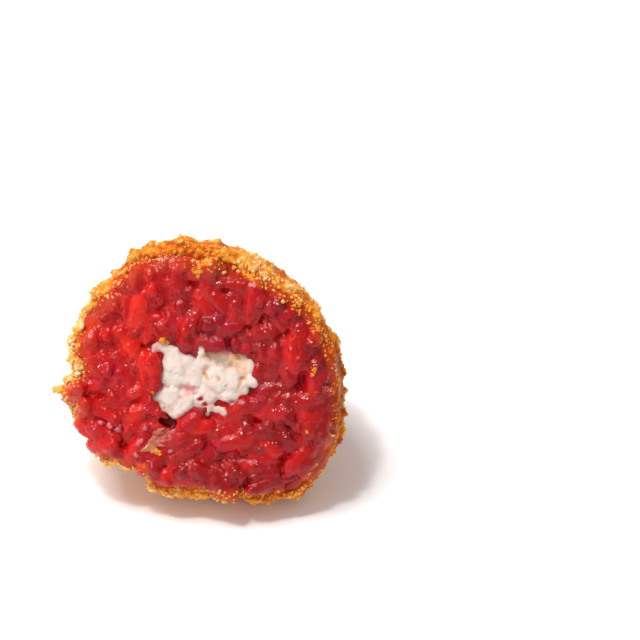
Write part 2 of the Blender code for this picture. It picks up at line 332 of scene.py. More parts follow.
class GeometryTree:
    """A Geometry Nodes tree with named inputs. It is made here, run on a mesh and leaves a plain mesh."""

    SOCKETS = {
        float: "NodeSocketFloat",
        int: "NodeSocketInt",
        Object: "NodeSocketObject",
        Collection: "NodeSocketCollection",
    }

    def __init__(self, name: str, **values: object) -> None:
        """Starts a tree.

        Args:
            name: the tree's name.
            **values: the named inputs with their values.
        """
        self.tree = bpy.data.node_groups.new(name, "GeometryNodeTree")
        interface = self.tree.interface
        interface.new_socket("Geometry", in_out="INPUT", socket_type="NodeSocketGeometry")
        interface.new_socket("Geometry", in_out="OUTPUT", socket_type="NodeSocketGeometry")
        self.values = {}
        for key, value in values.items():
            made = interface.new_socket(
                key.replace("_", " ").capitalize(), in_out="INPUT", socket_type=self.SOCKETS[type(value)]
            )
            self.values[made.identifier] = value
        self.entry = self.tree.nodes.new("NodeGroupInput")

    def input(self, name: str) -> NodeSocket:
        """The socket that brings in a named input."""
        return self.entry.outputs[name]

    def add(self, kind: str, inputs: dict | None = None, **settings: object) -> Node:
        """Adds one node to this tree, as add_node does."""
        return add_node(self.tree, kind, inputs, **settings)

    def put_shapes(
        self,
        points: NodeSocket,
        count: int,
        seed: NodeSocket | int,
        turn: NodeSocket,
        size: NodeSocket,
    ) -> NodeSocket:
        """Puts one of the shapes of the input "Shapes" at each point.

        Args:
            points: the points.
            count: how many shapes there are.
            seed: of the pick.
            turn: how each is turned.
            size: how each is scaled along its axes.

        Returns:
            The socket of what is put down.
        """
        pool = self.add(
            "GeometryNodeCollectionInfo", {"Collection": self.input("Shapes"), "Separate Children": True}
        )
        pick = self.add(
            "FunctionNodeRandomValue", {WHOLE_LOW: 0, WHOLE_HIGH: count - 1, "Seed": seed}, data_type="INT"
        )
        placed = self.add(
            "GeometryNodeInstanceOnPoints",
            {
                "Points": points,
                "Instance": pool.outputs[0],
                "Pick Instance": True,
                "Instance Index": pick.outputs[WHOLE],
                "Rotation": turn,
                "Scale": size,
            },
        )
        return placed.outputs[0]

    def close(self, geometry: NodeSocket, material: Material) -> None:
        """Ends the tree: instances become real mesh, and the mesh gets its material.

        Args:
            geometry: the socket of what the tree has made.
            material: its material.
        """
        real = self.add("GeometryNodeRealizeInstances", {"Geometry": geometry})
        dressed = self.add("GeometryNodeSetMaterial", {"Geometry": real.outputs[0], "Material": material})
        self.add("NodeGroupOutput", {"Geometry": dressed.outputs[0]})

    def run(self, mesh: Mesh) -> Mesh:
        """Runs the tree on a mesh.

        Args:
            mesh: what the tree starts from.

        Returns:
            The plain mesh that it makes.
        """
        helper = helper_object(self.tree.name, mesh)
        modifier = helper.modifiers.new("nodes", "NODES")
        modifier.node_group = self.tree
        for identifier, value in self.values.items():
            modifier[identifier] = value
        result = evaluated_mesh(helper)
        bpy.data.objects.remove(helper)
        return result


def shapes_collection(name: str, meshes: Iterable[Mesh]) -> Collection:
    """Gathers shapes to be scattered in a collection of their own.

    Args:
        name: what the shapes are.
        meshes: the shapes.

    Returns:
        The collection.
    """
    group = bpy.data.collections.new(name)
    bpy.context.scene.collection.children.link(group)
    for number, mesh in enumerate(meshes):
        group.objects.link(bpy.data.objects.new(f"{name}_{number}", mesh))
    return group


def discard(group: Collection) -> None:
    """Removes a collection of shapes once they have been scattered.

    Args:
        group: the collection.
    """
    for obj in list(group.objects):
        bpy.data.objects.remove(obj)
    bpy.data.collections.remove(group)


def set_down_shapes(
    name: str, places: list[dict], shapes: list[Mesh], material: Material, seed: int = 1
) -> Mesh:
    """Puts one of several shapes at each place.

    Args:
        name: what the shapes are.
        places: as points_mesh takes them.
        shapes: the shapes to pick from, of about radius 1.
        material: their material.
        seed: of the pick.

    Returns:
        One mesh of them all, with their tone in an attribute.
    """
    group = shapes_collection(name, shapes)
    nodes = GeometryTree(name, shapes=group, seed=seed)
    turn, size = (
        nodes.add("GeometryNodeInputNamedAttribute", {"Name": key}, data_type="FLOAT_VECTOR").outputs[0]
        for key in ("turn", "size")
    )
    placed = nodes.put_shapes(nodes.input("Geometry"), len(shapes), nodes.input("Seed"), turn, size)
    nodes.close(placed, material)
    result = nodes.run(points_mesh(name, places))
    discard(group)
    return result


def set_stops(ramp: Node, stops: tuple[tuple[float, str], ...]) -> NodeSocket:
    """Gives a Color Ramp node its colours.

    Args:
        ramp: the node.
        stops: place from 0 to 1 and sRGB hex colour of each stop.

    Returns:
        The ramp's colour socket.
    """
    elements = ramp.color_ramp.elements
    while len(elements) < len(stops):
        elements.new(1.0)
    for element, (place, hex_colour) in zip(elements, stops):
        element.position = place
        element.color = linear(hex_colour)
    return ramp.outputs["Color"]


def weighted(tree: NodeTree, terms: list[tuple[NodeSocket, float]], start: float) -> NodeSocket:
    """Adds up patterns, each times a weight.

    Args:
        tree: the material's tree.
        terms: each pattern's socket and weight.
        start: what the sum starts from.

    Returns:
        The sum's socket.
    """
    total = start
    for socket, weight in terms:
        total = add_node(
            tree, "ShaderNodeMath", {0: socket, 1: weight, 2: total}, operation="MULTIPLY_ADD"
        ).outputs[0]
    return total


@dataclass(frozen=True)
class Pattern:
    """One of the patterns that a finish's shade is the sum of."""

    source: str | float  # name of the mesh's attribute, or spacing of a noise
    weight: float = 1.0
    detail: float = 2.0


@dataclass(frozen=True)
class Layer:
    """A flat colour over a finish's shade, from none where its source is low to most where it is high."""

    source: str | float  # name of the mesh's attribute, or spacing of a noise
    colour: str
    low: float = 0.0
    high: float = 1.0
    most: float = 1.0
    detail: float = 2.0
    spared: float = 0.0  # how much less of it there is on the palest tone


@dataclass(frozen=True)
class Finish:
    """What every finish shares: a Principled shader with values typical for the real stuff."""

    name: str
    roughness: float = 0.5
    ior: float = 1.45
    specular: float = 0.5
    scatter: float = 0.0  # share of the light that scatters under the surface
    scatter_reach: float = 1 * MM
    scatter_tint: Triple = (1.0, 0.5, 0.3)
    coat: float = 0.0
    coat_roughness: float = 0.1
    coat_ior: float = 1.5
    bump: float = 0.1 * MM  # height of the finest relief
    granule: float = 0.3 * MM  # spacing of that relief
    granule_detail: float = 2.0
    coat_bump: float = 0.0  # height of the ripples in a wet coat
    coat_granule: float = 0.4 * MM  # spacing of those ripples
    coat_detail: float = 1.0
    coat_patch: float = 3.0 * MM  # spacing of the patches that they come in
    coat_patch_edge: Span = (0.42, 0.58)  # of the patches' noise
    coat_calm: float = 0.5  # how high the ripples are outside the patches
    patterns: tuple[Pattern, ...] = (Pattern("tone"),)
    level: float = 0.0  # what the sum of the patterns starts from
    stops: tuple[tuple[float, str], ...] = ()
    layers: tuple[Layer, ...] = ()

    def pattern(
        self, tree: NodeTree, place: NodeSocket, source: str | float, detail: float = 2.0
    ) -> NodeSocket:
        """Builds the node of one pattern.

        Args:
            tree: the material's tree.
            place: position on the object.
            source: name of the mesh's attribute, or spacing of a noise.
            detail: of the noise.

        Returns:
            The socket of its value from 0 to 1.
        """
        if isinstance(source, str):
            return add_node(tree, "ShaderNodeAttribute", attribute_name=source).outputs["Fac"]
        scale = {"Vector": place, "Scale": 1 / source, "Detail": detail}
        return add_node(tree, "ShaderNodeTexNoise", scale).outputs["Fac"]

    def colour(self, tree: NodeTree, place: NodeSocket) -> NodeSocket:
        """Builds the nodes of the base colour: a shade, with the layers over it.

        Args:
            tree: the material's tree.
            place: position on the object.

        Returns:
            The colour's socket.
        """
        parts = self.patterns
        terms = [(self.pattern(tree, place, part.source, part.detail), part.weight) for part in parts]
        ramp = add_node(tree, "ShaderNodeValToRGB", {"Fac": weighted(tree, terms, self.level)})
        colour = set_stops(ramp, self.stops)
        for layer in self.layers:
            value = self.pattern(tree, place, layer.source, layer.detail)
            limits = {"Value": value, "From Min": layer.low, "From Max": layer.high, "To Max": layer.most}
            share = add_node(tree, "ShaderNodeMapRange", limits)
            if layer.spared:
                bare = weighted(tree, [(self.pattern(tree, place, "tone"), -layer.spared)], 1.0)
                product = {0: share.outputs[0], 1: bare}
                share = add_node(tree, "ShaderNodeMath", product, operation="MULTIPLY")
            colours = {MIX_SHARE: share.outputs[0], MIX_FIRST: colour, MIX_SECOND: linear(layer.colour)}
            colour = add_node(tree, "ShaderNodeMix", colours, data_type="RGBA").outputs[MIX_RESULT]
        return colour

    def ripples(self, tree: NodeTree, place: NodeSocket) -> NodeSocket:
        """Builds the nodes of the ripples in a wet coat, which come in patches.

        Args:
            tree: the material's tree.
            place: position on the object.

        Returns:
            The socket of the coat's normal.
        """
        low, high = self.coat_patch_edge
        patches = self.pattern(tree, place, self.coat_patch)
        limits = {"Value": patches, "From Min": low, "From Max": high, "To Min": self.coat_calm}
        share = add_node(tree, "ShaderNodeMapRange", limits)
        ripples = self.pattern(tree, place, self.coat_granule, self.coat_detail)
        height = add_node(tree, "ShaderNodeMath", {0: ripples, 1: share.outputs[0]}, operation="MULTIPLY")
        bump = {"Height": height.outputs[0], "Distance": self.coat_bump}
        return add_node(tree, "ShaderNodeBump", bump).outputs[0]

    def make(self) -> Material:
        """Makes the material.

        Returns:
            The material.
        """
        material = bpy.data.materials.new(self.name)
        material.use_nodes = True
        tree = material.node_tree
        tree.nodes.clear()
        place = add_node(tree, "ShaderNodeTexCoord").outputs["Object"]
        relief = self.pattern(tree, place, self.granule, self.granule_detail)
        bump = add_node(tree, "ShaderNodeBump", {"Height": relief, "Distance": self.bump})
        shader = add_node(
            tree,
            "ShaderNodeBsdfPrincipled",
            {
                "Base Color": self.colour(tree, place),
                "Roughness": self.roughness,
                "IOR": self.ior,
                "Specular IOR Level": self.specular,
                "Normal": bump.outputs[0],
                "Subsurface Weight": self.scatter,
                "Subsurface Scale": self.scatter_reach,
                "Subsurface Radius": self.scatter_tint,
                "Coat Weight": self.coat,
                "Coat Roughness": self.coat_roughness,
                "Coat IOR": self.coat_ior,
            },
        )
        if self.coat_bump:
            tree.links.new(self.ripples(tree, place), shader.inputs["Coat Normal"])
        add_node(tree, "ShaderNodeOutputMaterial", {"Surface": shader.outputs[0]})
        return material


@dataclass(frozen=True)
class FriedBreading(Finish):
    """Fried breading: crumbs in a darker glaze of starch and oil, see-through like amber over red rice."""

    name: str = "fried_breading"
    ior: float = 1.4
    specular: float = 0.12
    scatter: float = 0.8
    scatter_tint: Triple = (1.0, 0.5, 0.25)
    coat: float = 0.05
    granule: float = 0.35 * MM  # the crumb's pores
    # Each crumb's tone, how pale the frying is there with painted light towards the left of the rim and
    # painted shade towards its right, mottles in it, and paler and darker patches
    patterns: tuple[Pattern, ...] = (
        Pattern("tone", 0.6),
        Pattern("pale", 0.6),
        Pattern(0.8 * MM, 0.5),
        Pattern(3.5 * MM, 0.65),
    )
    level: float = -0.47
    stops: tuple[tuple[float, str], ...] = (
        (0.0, "AC480A"),
        (0.25, "CE680A"),
        (0.5, "E28C1E"),
        (0.75, "EDB058"),
        (1.0, "F6DCA8"),
    )
    # Red rice where the glaze is thin, less so under crumbs
    layers: tuple[Layer, ...] = (Layer("thin", "B4200E", spared=0.75),)


@dataclass(frozen=True)
class LooseCrumb(FriedBreading):
    """Single fried breadcrumbs: drier and a little paler than the breading under them."""

    name: str = "fried_breadcrumb"
    scatter: float = 0.0
    level: float = -0.52
    stops: tuple[tuple[float, str], ...] = (
        (0.0, "B45A16"),
        (0.25, "D67A20"),
        (0.5, "E89A3E"),
        (0.75, "F2BC74"),
        (1.0, "FAE4BE"),
    )


@dataclass(frozen=True)
class BeetrootRisotto(Finish):
    """Risotto rice stained by beetroot: soft starchy grains in a wet glaze, so red, deep and glittering."""

    name: str = "beetroot_risotto"
    ior: float = 1.33
    specular: float = 0.1
    scatter: float = 0.4
    scatter_reach: float = 0.9 * MM
    scatter_tint: Triple = (1.0, 0.1, 0.06)
    coat: float = 0.75
    coat_roughness: float = 0.08
    coat_ior: float = 1.37
    bump: float = 0.08 * MM
    granule: float = 0.38 * MM  # the grainy starch under the glaze
    coat_bump: float = 0.12 * MM
    coat_granule: float = 0.32 * MM
    coat_patch: float = 2.4 * MM
    # Each grain's own red, mottles in it, and painted shade between the grains and towards the right
    patterns: tuple[Pattern, ...] = (Pattern("tone"), Pattern(1.6 * MM, 0.5, 3.0), Pattern("deep", -0.6))
    level: float = -0.15
    stops: tuple[tuple[float, str], ...] = (
        (0.0, "70060A"),
        (0.35, "9A0708"),
        (0.7, "BE0E08"),
        (1.0, "D82412"),
    )
    # Pinker patches, and orange where fat from the crust has run in
    layers: tuple[Layer, ...] = (
        Layer(4.5 * MM, "A00A2E", low=0.52, high=0.72, most=0.45, detail=3.0),
        Layer("edge", "C8480C"),
    )


@dataclass(frozen=True)
class FreshCheese(Finish):
    """Fresh goat's cheese: moist, dense and milky, stained pink where beetroot has run into it."""

    name: str = "fresh_goats_cheese"
    roughness: float = 0.6
    ior: float = 1.4
    scatter: float = 0.35
    scatter_reach: float = 0.6 * MM
    scatter_tint: Triple = (1.0, 0.8, 0.7)
    bump: float = 0.12 * MM
    granule: float = 0.4 * MM  # the curd's fine grain
    granule_detail: float = 3.0
    patterns: tuple[Pattern, ...] = (Pattern(2.2 * MM, detail=4.0),)
    # From milk to cream
    stops: tuple[tuple[float, str], ...] = ((0.4, "DCCDC2"), (0.68, "D6BFB1"))
    # Beige painted shade where it has sunk into its hollow, pink where it is stained and, deeper down,
    # painted shade, and the ochre of its rind
    layers: tuple[Layer, ...] = (Layer("sunk", "DCB89C"), Layer("stain", "C85C60"), Layer("fleck", "C89058"))


@dataclass(frozen=True)
class PaintedGlintSpecks(Finish):
    """Painted glints: pale pink specks on the wet rice that stand in for the highlights on the grains' upper
    sides.
    """

    name: str = "rice_starch"
    roughness: float = 0.3
    scatter: float = 0.3
    scatter_reach: float = 0.5 * MM
    scatter_tint: Triple = (1.0, 0.5, 0.45)
    coat: float = 0.6
    bump: float = 0.02 * MM
    # Each speck's tone, from stained red to the pale pink of a painted highlight
    stops: tuple[tuple[float, str], ...] = ((0.4, "C44A46"), (0.92, "EABEB2"))


@dataclass(frozen=True)
class StainedCurd(Finish):
    """Bits of cheese soaked in beetroot: milky pink, wet and see-through at their edges."""

    name: str = "stained_curd"
    roughness: float = 0.35
    scatter: float = 0.8
    scatter_reach: float = 0.8 * MM
    scatter_tint: Triple = (1.0, 0.4, 0.4)
    coat: float = 0.4
    bump: float = 0.08 * MM
    patterns: tuple[Pattern, ...] = (Pattern(0.9 * MM),)
    # Milky and soaked patches
    stops: tuple[tuple[float, str], ...] = ((0.42, "D2606A"), (0.62, "B42834"))


@dataclass(frozen=True)
class CookedOnion(Finish):
    """Onion cooked soft: see-through beige with ribs, stained red by the rice that shows through it."""

    name: str = "cooked_onion"
    roughness: float = 0.3
    ior: float = 1.38
    scatter: float = 0.7
    scatter_reach: float = 1.2 * MM
    scatter_tint: Triple = (1.0, 0.45, 0.3)
    coat: float = 0.3
    bump: float = 0.15 * MM
    granule: float = 0.45 * MM  # the onion's fibres
    patterns: tuple[Pattern, ...] = (Pattern(1.2 * MM, 1.2, 3.0), Pattern("tone", 0.45))
    level: float = -0.35
    # Red where it is thin, pink where it has soaked, ochre where it was in the frying oil
    stops: tuple[tuple[float, str], ...] = ((0.1, "A42A20"), (0.35, "B4584A"), (0.75, "C07C4A"))


@dataclass(frozen=True)
class StudioPaper(Finish):
    """White background paper: matt, with a tooth too fine to show, so it is drawn coarser than it is."""

    name: str = "white_paper"
    roughness: float = 0.9
    bump: float = 0.02 * MM
    granule: float = 1.2 * MM
    patterns: tuple[Pattern, ...] = (Pattern(125 * MM),)
    stops: tuple[tuple[float, str], ...] = ((0.4, "FDFDFE"), (0.6, "FAFAFC"))


@dataclass(frozen=True)
class BallForm:
    """The half ball's form, as in the CAD source: how it stands, its outline, crags and broken face."""

    radius: float = 23.4 * MM
    face_offset: float = 5.2 * MM  # from the ball's centre to the open face
    face_lift: float = math.radians(27)
    rest_depth: float = 1.9 * MM
    shift: float = -4.5 * MM  # of the centre, along the world's Y
    # Radius of the outline and width of the crust at the face, each 30 degrees round from +X to +Y
    outline: tuple[float, ...] = tuple(
        in_mm(23.1, 21.8, 20.9, 21.8, 22.9, 22.2, 23.3, 22.7, 21.8, 21.7, 24.4, 25.1)
    )
    band: tuple[float, ...] = tuple(in_mm(1.8, 1.9, 2.1, 2.2, 2.4, 2.1, 2.5, 1.4, 1.5, 2.0, 1.7, 1.4))
    # Width of the crust that shows round the rice, given the same way
    border: tuple[float, ...] = tuple(in_mm(0.6, 0.8, 1.6, 2.2, 1.3, 0.8, 1.6, 0.9, 1.0, 2.0, 1.3, 0.6))
    # Where the outline stands out or in from the CAD's: degrees from +X to +Y, height in mm, half width
    bulges: tuple[Triple, ...] = (
        (103, 0.5, 12), (120, 0.4, 8), (140, -0.6, 6), (156, 0.4, 10), (180, -2.0, 9), (190, 1.4, 9),
        (202, 0.8, 9), (211, -1.8, 8), (220, 1.1, 8), (230, -0.5, 6), (240, -2.3, 9), (251, 0.2, 9),
        (270, -0.1, 16), (290, -1.6, 8), (312, 1.6, 14), (324, 0.6, 10),
    )
    crust: float = 2.0 * MM
    lump_spacing: float = 11 * MM
    lump_height: float = 0.6 * MM
    crag_spacing: float = 3.4 * MM
    crag_height: float = 1.5 * MM
    crag_level: float = 0.45
    chip_spacing: float = 0.9 * MM
    chip_height: float = 0.45 * MM
    flattened: float = 1.6 * MM
    wave_spacing: float = 6 * MM
    wave: float = 0.6 * MM
    edge_chip_spacing: float = 1.3 * MM
    edge_chip: float = 0.4 * MM
    edge_reach: float = 6 * MM
    slump: float = 1.6 * MM
    slump_angle: float = math.radians(-40)
    slump_power: int = 3
    bed_depth: float = 1.0 * MM
    bed_swell: float = 0.9 * MM
    torn_angle: float = math.radians(211)  # where the crust has torn off the rim
    torn_width: float = math.radians(12)
    torn_steepness: float = 1.4
    torn_ragged: Pair = (0.3, 1.5 * MM)
    rim_zone: Rise = (-4 * MM, 3 * MM)  # where the rim begins, along the ball's Z from the face
    # How far what shows on the face is set over, because the photo looks down on it a little from the left
    slide: Pair = (0.45 * MM, 0.8 * MM)

    def matrix(self) -> Matrix:
        """Turns the ball's frame into the world's."""
        centre = Vector((0, self.shift, self.radius - self.rest_depth))
        return Matrix.LocRotScale(centre, Euler((math.pi / 2 - self.face_lift, 0, 0)), None)

    def height_above_floor(self, point: Vector) -> float:
        """World height of a point of the ball's frame."""
        return (self.matrix() @ point).z

    def depth(self, point: Vector) -> float:
        """How far a point lies behind the plane of the face."""
        return self.face_offset - point.z

    def plain_radius(self, direction: Vector) -> float:
        """The ball's radius in a direction, without its crags."""
        width = direction.x**2 + direction.y**2
        return self.radius * (1 - width) + around(self.outline, direction.x, direction.y) * width

    def crag(self, point: Vector) -> float:
        """How high the crust's relief is.

        Args:
            point: a point of the plain ball.

        Returns:
            The relief's height there.
        """
        lump = self.lump_height * noise.noise(point / self.lump_spacing)
        from_top = noise.voronoi(point / self.crag_spacing)[0][0]
        chip = self.chip_height * noise.noise(point / self.chip_spacing)
        relief = lump + self.crag_height * (self.crag_level - from_top) + chip
        return relief * smooth(self.height_above_floor(point) / self.flattened)

    def face_sway(self, x: float, y: float) -> float:
        """How far the broken face stands above the plane of a clean cut.

        Args:
            x: across the face.
            y: up the face.

        Returns:
            The height above the plane.
        """
        out = math.hypot(x, y) / self.radius
        facing = max(math.cos(math.atan2(y, x) - self.slump_angle), 0)
        wave = self.wave * noise.noise(Vector((x, y, 0)) / self.wave_spacing)
        return wave - self.slump * facing**self.slump_power * out**self.slump_power

    def broken(self, point: Vector) -> Vector:
        """Bends the ball near the face, and cuts it off along the broken edge.

        Args:
            point: a point of the whole ball.

        Returns:
            Where it comes to lie.
        """
        share = smooth(1 + (point.z - self.face_offset) / self.edge_reach)
        sway = self.face_sway(point.x, point.y)
        edge = self.face_offset + sway
        chip = self.edge_chip * noise.noise(point / self.edge_chip_spacing)
        return Vector((point.x, point.y, min(point.z + share * sway, edge + chip)))

    def on_floor(self, point: Vector) -> Vector:
        """Lifts a point that would be under the floor up to it."""
        world = self.matrix() @ point
        return point if world.z >= 0 else self.matrix().inverted() @ Vector((world.x, world.y, 0))

    def bulge(self, x: float, y: float) -> float:
        """How far the outline stands out from the CAD's.

        Args:
            x: across the face.
            y: up the face.

        Returns:
            The distance outwards in that direction.
        """
        turn = math.degrees(math.atan2(y, x)) % 360
        near = (bulge for bulge in self.bulges if abs(turn - bulge[0]) < bulge[2])
        return MM * sum(height * smooth(1 - abs(turn - middle) / half) for middle, height, half in near)

    def near_rim(self, point: Vector) -> float:
        """How near a point is to the rim, from 0 to 1."""
        return rising(point.z - self.face_offset, *self.rim_zone)

    def tear(self, point: Vector) -> float:
        """How far the rim is torn.

        Args:
            point: a point of the ball's frame.

        Returns:
            From 0, whole, to 1, torn off.
        """
        away = abs(math.remainder(math.atan2(point.y, point.x) - self.torn_angle, math.tau))
        share = 1 - away * ragged(point, *self.torn_ragged) / self.torn_width
        return smooth(self.torn_steepness * share) * self.near_rim(point)

    def core_point(self, direction: Vector) -> Vector:
        """Where a line from the ball's centre meets the inside of the crust.

        Args:
            direction: of the line, of length 1.

        Returns:
            The point.
        """
        width = direction.x**2 + direction.y**2
        rim = around(self.border, direction.x, direction.y) - self.bulge(direction.x, direction.y)
        return direction * (self.plain_radius(direction) - self.crust * (1 - width) - rim * width)

    def grain_radius(self, x: float, y: float) -> float:
        """Distance from the middle of the face to the crust as the CAD source has it."""
        edge = around(self.outline, x, y) ** 2 - self.face_offset**2
        return math.sqrt(edge) - around(self.band, x, y)

    def rice_radius(self, x: float, y: float) -> float:
        """Distance from the middle of the face to where the crust begins to show."""
        crust = self.grain_radius(x, y) + around(self.band, x, y)
        return crust - around(self.border, x, y) + self.bulge(x, y)

    def inside(self, point: Vector) -> float:
        """How far inside the place where the crust begins to show a point is."""
        return self.rice_radius(point.x, point.y) - math.hypot(point.x, point.y)

    def bed_height(self, x: float, y: float) -> float:
        """How far the bed of the rice stands along the ball's Z."""
        share = math.hypot(x, y) / self.radius
        return self.face_offset + self.face_sway(x, y) - self.bed_depth + self.bed_swell * (1 - share**2)

    def draw_place(self, draw: random.Random) -> Pair:
        """Draws a place on the face.

        Args:
            draw: where the random numbers come from.

        Returns:
            The place across and up the face.
        """
        across = self.radius * math.sqrt(draw.random())
        angle = draw.uniform(0, math.tau)
        return across * math.cos(angle), across * math.sin(angle)


FORM = BallForm()


def hand_in(name: str, mesh: Mesh, material: Material, replaced: str | None = None) -> Object:
    """Sets a finished mesh down in the world as a piece of the object.

    Args:
        name: the piece's name.
        mesh: the mesh, in the ball's frame.
        material: its material.
        replaced: the CAD node that it stands for, if any.

    Returns:
        The piece.
    """
    mesh.transform(FORM.matrix())
    mesh.materials.clear()
    mesh.materials.append(material)
    mesh.name = name
    piece = helper_object(name, mesh)
    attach(piece, "root")
    if replaced:
        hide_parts(replaced)
    mesh.calc_loop_triangles()
    LOG.info("%s: %d triangles", name, len(mesh.loop_triangles))
    return piece


class CrumbKind(Enum):
    """The kinds of crumb: name, where they stick, spacing, least and greatest radius, and seed."""

    GRANULE = ("crust_granules", "cover", 0.95 * MM, (0.4 * MM, 1.1 * MM), 4)
    FINE = ("fine_crumbs", "cover", 0.62 * MM, (0.16 * MM, 0.48 * MM), 3)
    RIM = ("rim_crumbs", "rim", 0.55 * MM, (0.2 * MM, 0.55 * MM), 5)
    EDGE = ("edge_crumbs", "crumby", 0.6 * MM, (0.2 * MM, 0.5 * MM), 6)
    # Painted glints: pale pink specks where the key light's highlight falls on the grains
    STARCH = ("rice_starch", "starchy", 0.27 * MM, (0.07 * MM, 0.24 * MM), 8)


@dataclass
class CrumbCoat:
    """The crumbs that stick to the crust, each a broken, angular bit."""

    kind: CrumbKind
    shapes: int = 9
    corners: Span = (0.5, 1.25)  # how far a crumb's corners stand out
    crowding: float = 1.4  # crumbs that are tried for each one that has room
    skew: float = 2.0  # the power that makes small crumbs outnumber big ones
    squash: Span = (0.6, 1.35)
    tones: Span = (0.35, 0.95)
    sunk: float = 0.05 * MM  # how deep each crumb's middle lies in what it sticks to

    def crumb_mesh(self, number: int) -> Mesh:
        """Makes one crumb: a coarse ball with every corner pulled in or out.

        Args:
            number: which of the shapes.

        Returns:
            Its mesh, of radius 1.
        """
        draw = random.Random(number)
        bm = bmesh.new()
        bmesh.ops.create_uvsphere(bm, u_segments=6, v_segments=4, radius=1)
        for vertex in bm.verts:
            vertex.co *= draw.uniform(*self.corners)
        return mesh_of(f"crumb_{number}", bm)

    def crumb_shapes(self) -> list[Mesh]:
        """All the shapes of crumb."""
        return [self.crumb_mesh(number) for number in range(self.shapes)]

    def scatter(self, surface: Mesh, material: Material) -> Mesh:
        """Scatters the crumbs over a surface, where one of its attributes lets them stick.

        Args:
            surface: the mesh that they stick to, in the ball's frame.
            material: the crumbs' material.

        Returns:
            All the crumbs, each with its tone.
        """
        name, mask, spacing, (smallest, largest), seed = self.kind.value
        pick_seed, turn_seed, size_seed, squash_seed, tone_seed = range(seed + 1, seed + 6)
        group = shapes_collection(name, self.crumb_shapes())
        nodes = GeometryTree(
            name, shapes=group, spacing=spacing, smallest=smallest, largest=largest, seed=seed
        )
        cover = nodes.add("GeometryNodeInputNamedAttribute", {"Name": mask}, data_type="FLOAT")
        spots = nodes.add(
            "GeometryNodeDistributePointsOnFaces",
            {
                "Mesh": nodes.input("Geometry"),
                "Distance Min": nodes.input("Spacing"),
                "Density Max": self.crowding / spacing**2,
                "Density Factor": cover.outputs[0],
                "Seed": nodes.input("Seed"),
            },
            distribute_method="POISSON",
        )
        limits = {VECTOR_LOW: (0, 0, 0), VECTOR_HIGH: (math.tau,) * 3, "Seed": turn_seed}
        turn = nodes.add("FunctionNodeRandomValue", limits, data_type="FLOAT_VECTOR")
        draw = nodes.add("FunctionNodeRandomValue", {"Seed": size_seed}, data_type="FLOAT")
        skewed = nodes.add("ShaderNodeMath", {0: draw.outputs[RANDOM_FLOAT], 1: self.skew}, operation="POWER")
        size = nodes.add(
            "ShaderNodeMapRange",
            {
                "Value": skewed.outputs[0],
                "To Min": nodes.input("Smallest"),
                "To Max": nodes.input("Largest"),
            },
        )
        least, greatest = self.squash
        limits = {VECTOR_LOW: (least,) * 3, VECTOR_HIGH: (greatest,) * 3, "Seed": squash_seed}
        squash = nodes.add("FunctionNodeRandomValue", limits, data_type="FLOAT_VECTOR")
        scaling = {0: squash.outputs[VECTOR], "Scale": size.outputs[0]}
        scale = nodes.add("ShaderNodeVectorMath", scaling, operation="SCALE")
        sinking = {0: spots.outputs["Normal"], "Scale": -self.sunk}
        inwards = nodes.add("ShaderNodeVectorMath", sinking, operation="SCALE")
        stuck = nodes.add(
            "GeometryNodeSetPosition", {"Geometry": spots.outputs["Points"], "Offset": inwards.outputs[0]}
        )
        placed = nodes.put_shapes(
            stuck.outputs[0], self.shapes, pick_seed, turn.outputs[VECTOR], scale.outputs[0]
        )
        least, greatest = self.tones
        limits = {RANDOM_LOW: least, RANDOM_HIGH: greatest, "Seed": tone_seed}
        tone = nodes.add("FunctionNodeRandomValue", limits, data_type="FLOAT")
        toned = nodes.add(
            "GeometryNodeStoreNamedAttribute",
            {"Geometry": placed, "Name": "tone", "Value": tone.outputs[RANDOM_FLOAT]},
            data_type="FLOAT",
            domain="INSTANCE",
        )
        nodes.close(toned.outputs[0], material)
        mesh = nodes.run(surface)
        discard(group)
        return mesh


